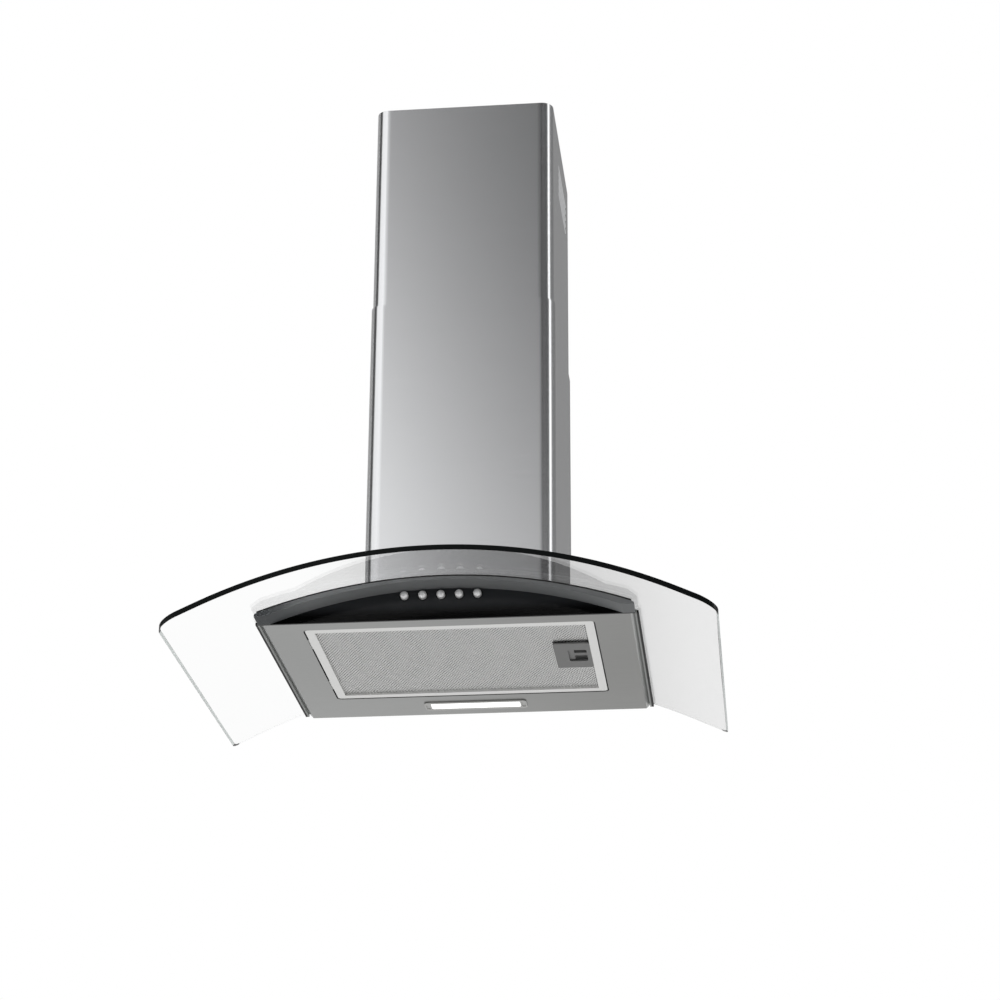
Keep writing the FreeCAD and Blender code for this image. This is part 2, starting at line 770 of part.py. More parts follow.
mesh_fields = [(-mesh_half, plate_left, -mesh_front, -mesh_rear),
               (plate_left, mesh_half, -mesh_front, -plate_front),
               (plate_left, mesh_half, -plate_rear, -mesh_rear)]
for left, right, low, high in mesh_fields:
    columns = int((right - left).value / size.mesh_pitch_x.value)
    rows = int((high - low).value / size.mesh_pitch_y.value)
    first_x = left + size.mesh_pitch_x / 2
    first_y = low + size.mesh_pitch_y / 2
    cell = sketch_on(mesh, "XY_Plane")
    trace(cell, [(first_x - cell_half_x, first_y), (first_x, first_y - cell_half_y),
                 (first_x + cell_half_x, first_y), (first_x, first_y + cell_half_y)])
    cells = along(mesh, [pocket(mesh, cell)], "X_Axis", size.mesh_pitch_x, columns)
    cells.Direction2 = (axis_of(mesh, "Y_Axis"), [""])
    cells.setExpression("Length2", (size.mesh_pitch_y * (rows - 1)).text)
    cells.Occurrences2 = rows

# Catch plate: a pressed plate with the thumb's slot, fixed across the mesh's gap
latch_plate = new_body("latch_plate")
slot_left = plate_left + size.latch_slot_inset
slot_right = slot_left + size.latch_slot_width
plate_sheet = sketch_on(latch_plate, "XY_Plane", size.filter_recess)
trace(plate_sheet, rounded(plate_left, -plate_front, mesh_half, -plate_rear, size.latch_plate_radius))
trace(plate_sheet, rounded(
    slot_left, -size.latch_plate_centre - size.latch_slot_length / 2,
    slot_right, size.latch_slot_length / 2 - size.latch_plate_centre, size.latch_plate_radius))
pad(latch_plate, plate_sheet, size.latch_plate_thickness)

# Catch: a thumb piece and its bolt in one, which slides to the left to free the filter
latch = new_body("filter_latch", y=-size.latch_plate_centre)
thumb_right = slot_left + size.latch_thumb_show
thumb_left = slot_left - size.latch_travel + size.slide_clearance
thumb_half = size.latch_thumb_length / 2
bolt = sketch_on(latch, "XY_Plane", latch_low)
trace(bolt, [
    (thumb_left, -thumb_half), (thumb_right, -thumb_half), (thumb_right, -latch_bar_half),
    (filter_half, -latch_bar_half), (filter_half, latch_bar_half), (thumb_right, latch_bar_half),
    (thumb_right, thumb_half), (thumb_left, thumb_half),
])
pad(latch, bolt, size.latch_thickness)

# Lamp: a trim round the lens under the pan, with a finger notch at each end, and above it a
# housing with the light board
lamp_low = -size.lamp_reach - lens_deep
lamp_high = lens_deep - size.lamp_reach
trim = new_body("lamp_frame")
trim_sheet = sketch_on(trim, "XY_Plane", -size.lamp_frame_thickness)
trace(trim_sheet, rounded(
    -size.lamp_frame_length / 2, -size.lamp_reach - size.lamp_frame_width / 2,
    size.lamp_frame_length / 2, size.lamp_frame_width / 2 - size.lamp_reach, size.lamp_frame_radius))
trace(trim_sheet, rounded(
    -lens_half - size.seat_clearance, lamp_low - size.seat_clearance,
    lens_half + size.seat_clearance, lamp_high + size.seat_clearance, size.lamp_lens_radius))
pad(trim, trim_sheet, size.lamp_frame_thickness)
notches = sketch_on(trim, "XY_Plane", -size.lamp_frame_thickness)
notch_outer = size.lamp_frame_length / 2 - size.lamp_notch_inset
notch_inner = notch_outer - size.lamp_notch_width
notch_low = -size.lamp_reach - size.lamp_notch_length / 2
notch_high = size.lamp_notch_length / 2 - size.lamp_reach
for left, right in ((-notch_outer, -notch_inner), (notch_inner, notch_outer)):
    trace(notches, rounded(left, notch_low, right, notch_high, size.lamp_notch_radius))
trim.Tip = pocket(trim, notches, size.lamp_frame_thickness * NOTCH_DEPTH_SHARE, back=True)
lens = new_body("lamp_lens")
lens_sheet = sketch_on(lens, "XY_Plane", -size.lamp_frame_thickness / 2)
trace(lens_sheet, rounded(-lens_half, lamp_low, lens_half, lamp_high, size.lamp_lens_radius))
pad(lens, lens_sheet, size.lamp_lens_thickness)
housing = new_body("lamp_housing", z=size.pan_sheet)
case_margin = size.lamp_housing_wall + 2 * size.seat_clearance
case = sketch_on(housing, "XY_Plane")
trace(case, rounded(-lens_half - case_margin, lamp_low - case_margin,
                    lens_half + case_margin, lamp_high + case_margin, size.lamp_lens_radius))
pad(housing, case, size.lamp_housing_height)
case_inner = 2 * size.seat_clearance
case_hollow = sketch_on(housing, "XY_Plane")
trace(case_hollow, rectangle(-lens_half - case_inner, lamp_low - case_inner,
                             lens_half + case_inner, lamp_high + case_inner))
pocket(housing, case_hollow, size.lamp_housing_height - size.lamp_housing_wall, back=True)
light = new_body("led_board", z=size.pan_sheet)
light_board = sketch_on(light, "XY_Plane", size.lamp_board_height)
trace(light_board, rectangle(-lens_half, lamp_low, lens_half, lamp_high))
pad(light, light_board, size.lamp_board_thickness)

# Blower housing: a folded box, open below, with the wall holes and the outlet and gland holes
blower = new_body("blower_box")
box_plan = sketch_on(blower, "XY_Plane", size.blower_bottom)
trace(box_plan, rectangle(-blower_half, -size.blower_depth, blower_half, 0))
pad(blower, box_plan, size.blower_top - size.blower_bottom)
box_hollow = sketch_on(blower, "XY_Plane", size.blower_bottom)
trace(box_hollow, rectangle(size.blower_sheet - blower_half, size.blower_sheet - size.blower_depth,
                            blower_half - size.blower_sheet, -size.blower_sheet))
pocket(blower, box_hollow, size.blower_top - size.blower_bottom - size.blower_sheet, back=True)
wall_holes = sketch_on(blower, "XZ_Plane")
for side in (-1, 1):
    for row in (-1, 1):
        circle(wall_holes, side * size.wall_hole_spacing_x / 2,
               size.wall_hole_height + row * size.wall_hole_spacing_z / 2, size.wall_hole_radius)
pocket(blower, wall_holes, 2 * size.blower_sheet, back=True)
collar_bore = size.collar_radius - size.collar_wall
top_holes = sketch_on(blower, "XY_Plane", size.blower_top)
circle(top_holes, 0, -size.collar_reach, collar_bore)
circle(top_holes, -size.gland_offset, -size.gland_reach, size.gland_hole_radius)
pocket(blower, top_holes, 2 * size.blower_sheet)

# Clamp rails: angles on the blower's sides whose feet press on the glass
rails = new_body("clamp_rails")
rail_length = size.blower_depth - 2 * size.blower_gap
rail_seat = glass_over + size.seat_clearance
foot_over = rail_seat + size.clamp_rail_sheet
rail_web = rail_inner + size.clamp_rail_sheet
rail_top = arch(rail_seat, rail_inner) + size.clamp_rail_height
for side in (-1, 1):
    angle = sketch_on(rails, "XZ_Plane", size.blower_gap)
    trace(angle, [
        (side * rail_inner, arch(rail_seat, rail_inner)), (side * rail_outer, arch(rail_seat, rail_outer)),
        (side * rail_outer, arch(foot_over, rail_outer)), (side * rail_web, arch(foot_over, rail_web)),
        (side * rail_web, rail_top), (side * rail_inner, rail_top),
    ])
    pad(rails, angle, rail_length)
rail_holes = sketch_on(rails, "XY_Plane")
for x, y in clamp_places:
    circle(rail_holes, x, y, size.clamp_hole_radius)
pocket(rails, rail_holes)

# Clamp screws and their nuts under the deck
head_seat = arch(foot_over, clamp_x - size.clamp_head_radius) + size.seat_clearance
screws = new_body("clamp_screws")
nuts = new_body("clamp_nuts")
nut_top = arch(deck_under, clamp_x + size.clamp_nut_radius) - size.seat_clearance
nut_half = size.clamp_nut_radius / 2
nut_flat = size.clamp_nut_radius * HEX_FLAT_SHARE
shank = sketch_on(screws, "XY_Plane", head_seat)
heads = sketch_on(screws, "XY_Plane", head_seat)
hexes = sketch_on(nuts, "XY_Plane", nut_top)
for x, y in clamp_places:
    circle(shank, x, y, size.clamp_screw_radius)
    circle(heads, x, y, size.clamp_head_radius)
    circle(hexes, x, y, size.clamp_screw_radius + size.running_clearance)
    trace(hexes, [
        (x + size.clamp_nut_radius, y), (x + nut_half, y + nut_flat), (x - nut_half, y + nut_flat),
        (x - size.clamp_nut_radius, y), (x - nut_half, y - nut_flat), (x + nut_half, y - nut_flat),
    ])
pad(screws, heads, size.clamp_head_height)
pad(screws, shank, size.clamp_screw_reach, back=True)
pad(nuts, hexes, size.clamp_nut_height, back=True)

# Fan casing: a scroll of quarter turns that grow towards the upright outlet, drawn from the
# wheel's axis, and two sides with the inlets
scroll_top = size.blower_top - size.blower_sheet - size.scroll_axis_height
tongue = size.wheel_radius + size.scroll_tongue_gap
turn_1 = size.scroll_radius
turn_2 = turn_1 + size.scroll_growth
turn_3 = turn_2 + size.scroll_growth
rear_z = tongue - turn_1
low_y = turn_1 - turn_2
low_z = rear_z - turn_2
front_y = low_y - turn_3
front_z = low_z + turn_3
skin = size.scroll_sheet
scroll_outside = [(0, scroll_top), (0, tongue, -turn_1), (turn_1, rear_z, -turn_2),
                  (low_y, low_z, -turn_3), (front_y, front_z), (front_y, scroll_top)]
scroll_inside = [(front_y + skin, scroll_top), (front_y + skin, front_z, turn_3 - skin),
                 (low_y, low_z + skin, turn_2 - skin), (turn_1 - skin, rear_z, turn_1 - skin),
                 (0, tongue - skin), (-skin, tongue - skin), (-skin, scroll_top)]
scroll_place = {"y": -size.scroll_axis_reach, "z": size.scroll_axis_height}
wrap = new_body("scroll_wrap", **scroll_place)
wrap_sheet = sketch_on(wrap, "YZ_Plane")
trace(wrap_sheet, scroll_outside + scroll_inside)
pad(wrap, wrap_sheet, size.scroll_width, symmetric=True)
for label, side in (("scroll_side_left", -1), ("scroll_side_right", 1)):
    cheek = new_body(label, x=side * size.scroll_width / 2, **scroll_place)
    cheek_sheet = sketch_on(cheek, "YZ_Plane")
    trace(cheek_sheet, scroll_outside)
    circle(cheek_sheet, 0, 0, size.inlet_radius)
    pad(cheek, cheek_sheet, skin, back=side < 0)
    inlet_lip = sketch_on(cheek, "YZ_Plane")
    circle(inlet_lip, 0, 0, size.inlet_radius)
    circle(inlet_lip, 0, 0, size.inlet_radius + size.inlet_lip_width)
    pad(cheek, inlet_lip, skin + size.inlet_lip_length, back=side < 0)

# Fan wheel: a disc with its hub, an end ring each side, and forward curved blades
wheel = new_body("impeller", **scroll_place)
wheel_half = size.wheel_width / 2
hub_bore = size.shaft_radius + size.running_clearance
ring_inner = size.wheel_radius - size.wheel_ring_width
hub_left = -size.wheel_hub_length * HUB_LEFT_SHARE
hub_right = hub_left + size.wheel_hub_length
hub_profile = sketch_on(wheel, "XZ_Plane")
trace(hub_profile, [
    (hub_left, hub_bore), (hub_right, hub_bore), (hub_right, size.wheel_hub_radius),
    (size.wheel_disc_thickness, size.wheel_hub_radius), (size.wheel_disc_thickness, size.wheel_radius),
    (0, size.wheel_radius), (0, size.wheel_hub_radius), (hub_left, size.wheel_hub_radius),
])
revolve(wheel, hub_profile, "H_Axis")
blade_sweep = size.wheel_ring_width * BLADE_SWEEP_SHARE
blade = sketch_on(wheel, "YZ_Plane")
trace(blade, [
    (0, ring_inner, size.blade_radius), (-blade_sweep, size.wheel_radius - skin),
    (size.blade_thickness - blade_sweep, size.wheel_radius - skin, -size.blade_radius),
    (size.blade_thickness, ring_inner),
])
blade_pad = pad(wheel, blade, size.wheel_width, symmetric=True)
around(wheel, [blade_pad], "X_Axis", BLADE_COUNT)
for side in (-1, 1):
    end_ring = sketch_on(wheel, "YZ_Plane", side * wheel_half)
    circle(end_ring, 0, 0, ring_inner)
    circle(end_ring, 0, 0, size.wheel_radius)
    wheel.Tip = pad(wheel, end_ring, size.wheel_ring_thickness, back=side > 0)

# Motor in the left inlet, its bracket on the casing's side, and the shaft that drives the wheel
motor_front = -size.motor_gap
motor_back = motor_front - size.motor_length
motor = new_body("motor", **scroll_place)
can = sketch_on(motor, "XZ_Plane")
bevel = size.motor_edge_bevel
boss_front = motor_front + size.motor_boss_length
trace(can, [
    (motor_back, hub_bore), (boss_front, hub_bore), (boss_front, size.motor_boss_radius),
    (motor_front, size.motor_boss_radius), (motor_front, size.motor_radius - bevel),
    (motor_front - bevel, size.motor_radius), (motor_back + bevel, size.motor_radius),
    (motor_back, size.motor_radius - bevel),
])
revolve(motor, can, "H_Axis")
shaft = new_body("motor_shaft", **scroll_place)
rod = sketch_on(shaft, "YZ_Plane", motor_back)
circle(rod, 0, 0, size.shaft_radius)
pad(shaft, rod, size.shaft_reach - motor_back)
spider = new_body("motor_bracket", **scroll_place)
cheek_face = -size.scroll_width / 2 - skin
spider_face = cheek_face - size.inlet_lip_length - size.seat_clearance
spider_ring = sketch_on(spider, "YZ_Plane", spider_face)
ring_bore = size.motor_radius + size.seat_clearance
circle(spider_ring, 0, 0, ring_bore)
circle(spider_ring, 0, 0, ring_bore + size.bracket_ring_width)
pad(spider, spider_ring, size.bracket_sheet, back=True)
arm_half = size.bracket_arm_width / 2
arm = sketch_on(spider, "YZ_Plane", spider_face)
trace(arm, rectangle(-arm_half, ring_bore + size.seat_clearance, arm_half, size.bracket_arm_radius))
arm_pad = pad(spider, arm, size.bracket_sheet, back=True)
foot = sketch_on(spider, "YZ_Plane", spider_face)
trace(foot, rectangle(-arm_half, size.bracket_arm_radius - size.bracket_foot_length,
                      arm_half, size.bracket_arm_radius))
foot_pad = pad(spider, foot, cheek_face - spider_face)
around(spider, [arm_pad, foot_pad], "X_Axis", BRACKET_ARM_COUNT)

# Duct collar on the housing's top, with a stop ring for the flaps
collar = new_body("outlet_collar", y=-size.collar_reach, z=size.blower_top)
stop_bore = collar_bore - 2 * size.flap_gap
stop_top = size.flap_height - size.flap_barrel_radius - size.rest_clearance
flange_rim = size.collar_radius + size.collar_flange_width
collar_profile = sketch_on(collar, "XZ_Plane")
trace(collar_profile, [
    (collar_bore, 0), (flange_rim, 0), (flange_rim, size.collar_flange_thickness),
    (size.collar_radius, size.collar_flange_thickness), (size.collar_radius, size.collar_length),
    (collar_bore, size.collar_length), (collar_bore, stop_top), (stop_bore, stop_top),
    (stop_bore, stop_top - size.flap_gap), (collar_bore, stop_top - size.flap_gap),
])
revolve(collar, collar_profile, "V_Axis")
flap_pin = new_body("flap_pin", y=-size.collar_reach, z=size.blower_top + size.flap_height)
wire = sketch_on(flap_pin, "YZ_Plane")
circle(wire, 0, 0, size.flap_pin_radius)
pad(flap_pin, wire, 2 * (collar_bore - size.seat_clearance), symmetric=True)

# Backdraft flaps: half discs with a barrel each on the shared pin
flap_rim = collar_bore - size.flap_gap
flap_chord = root(flap_rim * flap_rim - size.flap_split * size.flap_split)
barrel_bore = size.flap_pin_radius + size.running_clearance
for label, side in (("flap_front", -1), ("flap_rear", 1)):
    flap = new_body(label, y=-size.collar_reach, z=size.blower_top + size.flap_height)
    barrel_start = size.flap_barrel_inset
    barrel_end = size.flap_barrel_inset + size.flap_barrel_length
    left, right = (-barrel_end, -barrel_start) if side < 0 else (barrel_start, barrel_end)
    leaf = sketch_on(flap, "XY_Plane", -size.flap_barrel_radius)
    trace(leaf, [
        (-flap_chord, side * size.flap_split, side * -flap_rim),
        (0, side * flap_rim, side * -flap_rim), (flap_chord, side * size.flap_split),
        (right, side * size.flap_split), (right, 0), (left, 0), (left, side * size.flap_split),
    ])
    pad(flap, leaf, size.flap_thickness)
    barrel = sketch_on(flap, "YZ_Plane", left)
    circle(barrel, 0, 0, size.flap_barrel_radius)
    pad(flap, barrel, size.flap_barrel_length)
    bore = sketch_on(flap, "YZ_Plane", left)
    circle(bore, 0, 0, barrel_bore)
    pocket(flap, bore)

# Control box on the housing's front wall, the motor's capacitor beside it, and the cable gland
wall_inside = size.blower_depth - size.blower_sheet
control = new_body("control_box", y=-wall_inside, z=size.control_box_bottom)
control_half = size.control_box_width / 2
control_plan = sketch_on(control, "XZ_Plane", -size.control_box_depth)
trace(control_plan, rounded(
    -control_half, as_size(0), control_half, size.control_box_height, size.control_box_radius))
pad(control, control_plan, size.control_box_depth)
lid = sketch_on(control, "XZ_Plane", -size.control_box_depth)
lip_half = control_half + size.control_lid_lip
trace(lid, rounded(-lip_half, -size.control_lid_lip, lip_half,
                   size.control_box_height + size.control_lid_lip, size.control_box_radius))
pad(control, lid, size.control_lid_thickness)
capacitor = new_body("motor_capacitor", x=size.capacitor_offset, z=size.control_box_bottom,
                     y=size.capacitor_radius + size.seat_clearance - wall_inside)
can_profile = sketch_on(capacitor, "XZ_Plane")
bevel = size.capacitor_edge_bevel
terminal_top = size.capacitor_length + size.capacitor_terminal_length
trace(can_profile, [
    (0, 0), (size.capacitor_radius - bevel, 0), (size.capacitor_radius, bevel),
    (size.capacitor_radius, size.capacitor_length), (size.capacitor_terminal_radius, size.capacitor_length),
    (size.capacitor_terminal_radius, terminal_top), (0, terminal_top),
])
revolve(capacitor, can_profile, "V_Axis")
gland = new_body("cable_gland", x=-size.gland_offset, y=-size.gland_reach, z=size.blower_top)
gland_profile = sketch_on(gland, "XZ_Plane")
throat = size.gland_hole_radius - size.seat_clearance
trace(gland_profile, [
    (size.gland_bore_radius, -2 * size.blower_sheet), (throat, -2 * size.blower_sheet), (throat, 0),
    (size.gland_nut_radius, 0), (size.gland_nut_radius, size.gland_nut_height),
    (size.gland_dome_radius, size.gland_nut_height), (throat, size.gland_nut_height + size.gland_dome_height),
    (size.gland_bore_radius, size.gland_nut_height + size.gland_dome_height),
])
revolve(gland, gland_profile, "V_Axis")


def flue_outline(half, rear, front, corner, sheet):
    """The folded cover in plan: rounded front corners, and returns along the wall."""
    inner = corner - sheet
    lip = half - size.flue_return
    return [
        (-lip, -rear), (-half, -rear), (-half, corner - front, corner), (corner - half, -front),
        (half - corner, -front, corner), (half, corner - front), (half, -rear), (lip, -rear),
        (lip, -rear - sheet), (half - sheet, -rear - sheet), (half - sheet, corner - front, -inner),
        (half - corner, sheet - front), (corner - half, sheet - front, -inner),
        (sheet - half, corner - front), (sheet - half, -rear - sheet), (-lip, -rear - sheet),
    ]


# Lower flue: its foot follows the glass
flue_half = size.flue_width / 2
flue_depth = size.blower_depth + size.flue_front_gap
flue_foot = arch(glass_over, flue_half) - size.cut_overrun
lower = new_body("lower_flue")
lower_plan = sketch_on(lower, "XY_Plane", flue_foot)
trace(lower_plan, flue_outline(flue_half, as_size(0), flue_depth, size.flue_front_radius, size.flue_sheet))
pad(lower, lower_plan, size.lower_flue_top - flue_foot)
foot_half = flue_half + size.cut_overrun
foot_radius = glass_over + size.seat_clearance
foot_cut = sketch_on(lower, "XZ_Plane")
trace(foot_cut, [
    (-foot_half, arch(foot_radius, foot_half), -foot_radius), (foot_half, arch(foot_radius, foot_half)),
    (foot_half, flue_foot - size.cut_overrun), (-foot_half, flue_foot - size.cut_overrun),
])
pocket(lower, foot_cut)

# Upper flue: slides inside the lower one, with a column of vent slots near the top of each side
upper_gap = size.flue_sheet + size.flue_nest_gap
upper_half = flue_half - upper_gap
upper_front = flue_depth - upper_gap
upper_corner = size.flue_front_radius - upper_gap
upper_foot = size.upper_flue_top - size.upper_flue_length
upper = new_body("upper_flue")
upper_plan = sketch_on(upper, "XY_Plane", upper_foot)
trace(upper_plan, flue_outline(upper_half, upper_gap, upper_front, upper_corner, size.flue_sheet))
pad(upper, upper_plan, size.upper_flue_length)
vent_top = size.upper_flue_top - size.vent_first
vent = sketch_on(upper, "YZ_Plane")
trace(vent, rounded(-size.vent_front, vent_top - size.vent_height,
                    size.vent_length - size.vent_front, vent_top, size.vent_corner_radius))
vent_cut = pocket(upper, vent)
along(upper, [vent_cut], "Z_Axis", size.vent_pitch, VENT_COUNT, back=True)
bracket_middle = size.upper_flue_top - size.flue_bracket_drop + size.flue_bracket_height / 2
screw_holes = sketch_on(upper, "YZ_Plane")
ear_front = upper_gap + size.flue_sheet + size.seat_clearance + size.flue_bracket_ear
screw_reach = ear_front - size.bracket_screw_setback + size.flue_bracket_sheet
screw_bore = size.bracket_screw_radius + size.bracket_screw_clearance
circle(screw_holes, -screw_reach, bracket_middle, screw_bore)
upper.Tip = pocket(upper, screw_holes)

# Wall bracket of the upper flue: a strip with two bosses to the wall and an ear to each side
bracket = new_body("flue_bracket")
bracket_back = upper_gap + size.flue_sheet + size.seat_clearance
bracket_half = upper_half - size.flue_sheet - size.seat_clearance
bracket_low = bracket_middle - size.flue_bracket_height / 2
bracket_front = bracket_back + size.flue_bracket_sheet
strap = sketch_on(bracket, "XY_Plane", bracket_low)
ear_inner = bracket_half - size.flue_bracket_sheet
trace(strap, [
    (-bracket_half, -bracket_back), (-bracket_half, -ear_front), (-ear_inner, -ear_front),
    (-ear_inner, -bracket_front), (ear_inner, -bracket_front), (ear_inner, -ear_front),
    (bracket_half, -ear_front), (bracket_half, -bracket_back),
])
pad(bracket, strap, size.flue_bracket_height)
bosses = sketch_on(bracket, "XZ_Plane")
boss_holes = sketch_on(bracket, "XZ_Plane")
for side in (-1, 1):
    boss_x = side * size.flue_bracket_hole_spacing / 2
    circle(bosses, boss_x, bracket_middle, size.flue_bracket_boss_radius)
    circle(boss_holes, boss_x, bracket_middle, size.flue_bracket_hole_radius)
pad(bracket, bosses, bracket_front)
pocket(bracket, boss_holes)
ear_holes = sketch_on(bracket, "YZ_Plane")
circle(ear_holes, -screw_reach, bracket_middle, screw_bore)
pocket(bracket, ear_holes)

# Screws that hold the upper flue to its bracket's ears
flue_screws = new_body("bracket_screws", y=-screw_reach, z=bracket_middle)
for side in (-1, 1):
    head_side = sketch_on(flue_screws, "YZ_Plane", side * (upper_half + size.running_clearance))
    circle(head_side, 0, 0, size.bracket_screw_radius)
    pad(flue_screws, head_side, size.bracket_screw_length, back=side > 0)

doc.recompute()
for item in doc.Objects:
    if {"Invalid", "Error"} & set(item.State):
        raise RuntimeError(f"{item.Label} failed: {item.State}")
    if item.TypeId == "PartDesign::Pocket" and item.Shape.Volume >= item.BaseFeature.Shape.Volume:
        raise RuntimeError(f"{item.Label} cuts nothing")
os.makedirs("parts", exist_ok=True)
for body in sub_parts:
    if body.Shape.isNull() or not body.Shape.isValid():
        raise RuntimeError(f"{body.Label} has no valid shape")
    body.Shape.exportStep(f"parts/{body.Label}.step")
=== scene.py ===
import math
import bmesh
import bpy
from mathutils import Matrix, Vector


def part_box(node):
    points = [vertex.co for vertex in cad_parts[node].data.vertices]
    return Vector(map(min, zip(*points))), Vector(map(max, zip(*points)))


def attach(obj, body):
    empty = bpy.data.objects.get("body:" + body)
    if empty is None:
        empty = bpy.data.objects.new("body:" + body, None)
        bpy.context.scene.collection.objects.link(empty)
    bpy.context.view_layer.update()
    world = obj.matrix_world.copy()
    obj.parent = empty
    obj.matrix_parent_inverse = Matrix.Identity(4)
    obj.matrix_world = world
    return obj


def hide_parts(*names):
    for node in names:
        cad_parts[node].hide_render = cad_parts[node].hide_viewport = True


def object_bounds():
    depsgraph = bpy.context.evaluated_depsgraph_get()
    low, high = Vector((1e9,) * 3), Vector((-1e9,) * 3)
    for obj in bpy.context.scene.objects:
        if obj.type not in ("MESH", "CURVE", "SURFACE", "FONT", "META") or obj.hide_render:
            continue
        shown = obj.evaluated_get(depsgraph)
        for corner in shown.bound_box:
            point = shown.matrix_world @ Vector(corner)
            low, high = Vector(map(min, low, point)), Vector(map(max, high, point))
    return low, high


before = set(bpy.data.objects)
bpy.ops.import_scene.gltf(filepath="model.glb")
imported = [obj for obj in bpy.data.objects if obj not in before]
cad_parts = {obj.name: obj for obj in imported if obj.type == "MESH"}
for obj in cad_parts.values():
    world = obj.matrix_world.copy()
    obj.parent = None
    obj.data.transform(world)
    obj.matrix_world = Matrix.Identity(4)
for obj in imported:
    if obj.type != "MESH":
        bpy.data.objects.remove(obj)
cad_low, cad_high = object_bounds()


# Blower housing and what bolts the glass to it: folded sheet with a zinc coat, hung on the
# wall by four holes. The coat shows pale crystals a few millimetres wide.
class Wire:
    """A socket of a node tree. Sums and products of wires add Math nodes to that tree."""

    def __init__(self, socket):
        self.socket = socket

    @classmethod
    def add(cls, tree, kind, settings=None, inputs=None, output=0):
        """Add any node: its settings first, then the values or links of its sockets."""
        node = tree.nodes.new(kind)
        for name, value in (settings or {}).items():
            if name == "stops":
                stops = node.color_ramp.elements
                while len(stops) < len(value):
                    stops.new(1)
                for stop, (place, colour) in zip(stops, value):
                    stop.position = place
                    stop.color = (*colour, 1)
            else:
                setattr(node, name, value)
        for name, value in (inputs or {}).items():
            if isinstance(value, cls):
                tree.links.new(value.socket, node.inputs[name])
            else:
                node.inputs[name].default_value = value
        return cls(node.outputs[output])

    def reckon(self, operation, other=0, swap=False):
        """Add a Math node of this value and another, in that order unless they swap."""
        terms = (other, self) if swap else (self, other)
        settings = {"operation": operation}
        return Wire.add(self.socket.id_data, "ShaderNodeMath", settings, dict(enumerate(terms)))

    def ramp(self, start, end):
        """Rise from 0 to 1 while this value goes from start to end."""
        curve = {"interpolation_type": "SMOOTHSTEP"}
        limits = {"Value": self, "From Min": start, "From Max": end}
        return Wire.add(self.socket.id_data, "ShaderNodeMapRange", curve, limits)

    def __add__(self, other):
        return self.reckon("ADD", other)

    __radd__ = __add__

    def __sub__(self, other):
        return self.reckon("SUBTRACT", other)

    def __rsub__(self, other):
        return self.reckon("SUBTRACT", other, swap=True)

    def __mul__(self, other):
        return self.reckon("MULTIPLY", other)

    __rmul__ = __mul__


class Finish:
    """A material with one Principled shader. Constants go straight onto its sockets."""

    def __init__(self, name, constants):
        self.material = bpy.data.materials.new(name)
        self.material.use_nodes = True
        self.tree = self.material.node_tree
        self.shader = self.tree.nodes["Principled BSDF"]
        for socket, value in constants.items():
            self.shader.inputs[socket].default_value = value
        self.place = Wire.add(self.tree, "ShaderNodeTexCoord", output="Object")
        axes = Wire.add(self.tree, "ShaderNodeSeparateXYZ", {}, {0: self.place}).socket.node.outputs
        self.x, self.y, self.z = (Wire(axis) for axis in axes)

    def feed(self, socket, wire):
        """Link a wire to a socket of the shader."""
        self.tree.links.new(wire.socket, self.shader.inputs[socket])

    def noise(self, scales, detail=2.0):
        """Noise from 0 to 1, with its own number of grains to the metre along X, Y and Z."""
        spread = Wire.add(self.tree, "ShaderNodeMapping", {}, {"Vector": self.place, "Scale": scales})
        grains = {"Vector": spread, "Scale": 1, "Detail": detail}
        return Wire.add(self.tree, "ShaderNodeTexNoise", {}, grains)

    def blend(self, factor, first, second):
        """One colour turning into the other as the factor goes from 0 to 1."""
        first, second = (tone if isinstance(tone, Wire) else (*tone, 1) for tone in (first, second))
        tones = {0: factor, 6: first, 7: second}
        return Wire.add(self.tree, "ShaderNodeMix", {"data_type": "RGBA"}, tones, output=2)

    def emboss(self, height, depth):
        """Raise the surface by the height's wire times a depth in metres."""
        bump = {"Height": height, "Strength": 1, "Distance": depth}
        self.feed("Normal", Wire.add(self.tree, "ShaderNodeBump", {}, bump))


def dress(finish, *names):
    """Give CAD nodes a finish."""
    for name in names:
        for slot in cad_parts[name].material_slots:
            slot.material = finish.material


zinc = Finish("zinc_coated_sheet", {"Metallic": 1})
crystal_size = 0.004
crystal_places = {"Vector": zinc.place, "Scale": 1 / crystal_size}
crystals = Wire.add(zinc.tree, "ShaderNodeTexVoronoi", {}, crystal_places, output="Color")
crystal_tone = Wire.add(zinc.tree, "ShaderNodeRGBToBW", {}, {"Color": crystals})
zinc.feed("Base Color", zinc.blend(crystal_tone, (0.52, 0.53, 0.54), (0.68, 0.69, 0.70)))
zinc.feed("Roughness", 0.48 + 0.16 * crystal_tone)
dress(zinc, "blower_box", "clamp_rails", "top_deck", "lamp_housing", "flue_bracket", "motor_bracket")

# Fan casing, wheel and duct collar with its flaps: black moulded plastic, screwed into the
# housing. The mould leaves a fine pebbled grain.
moulded = Finish("black_moulding", {"Base Color": (0.018, 0.018, 0.019, 1)})
pebbles = moulded.noise((900, 900, 900))
moulded.feed("Roughness", 0.42 + 0.16 * pebbles)
moulded.emboss(pebbles, 0.0001)
dress(moulded, "scroll_wrap", "scroll_side_left", "scroll_side_right", "impeller", "outlet_collar",
      "flap_front", "flap_rear", "switch_housing", "cable_gland")

# Motor and its shaft, the flaps' pin, screws and nuts: turned and pressed steel. The cutting
# tool leaves fine rings across the shaft's axis.
turned = Finish("turned_steel", {"Metallic": 1})
turning = turned.noise((1800, 60, 60))
turned.feed("Base Color", turned.blend(turning, (0.40, 0.40, 0.40), (0.56, 0.56, 0.55)))
turned.feed("Roughness", 0.28 + 0.14 * turning)
dress(turned, "motor", "motor_shaft", "clamp_screws", "clamp_nuts", "flap_pin", "bracket_screws")

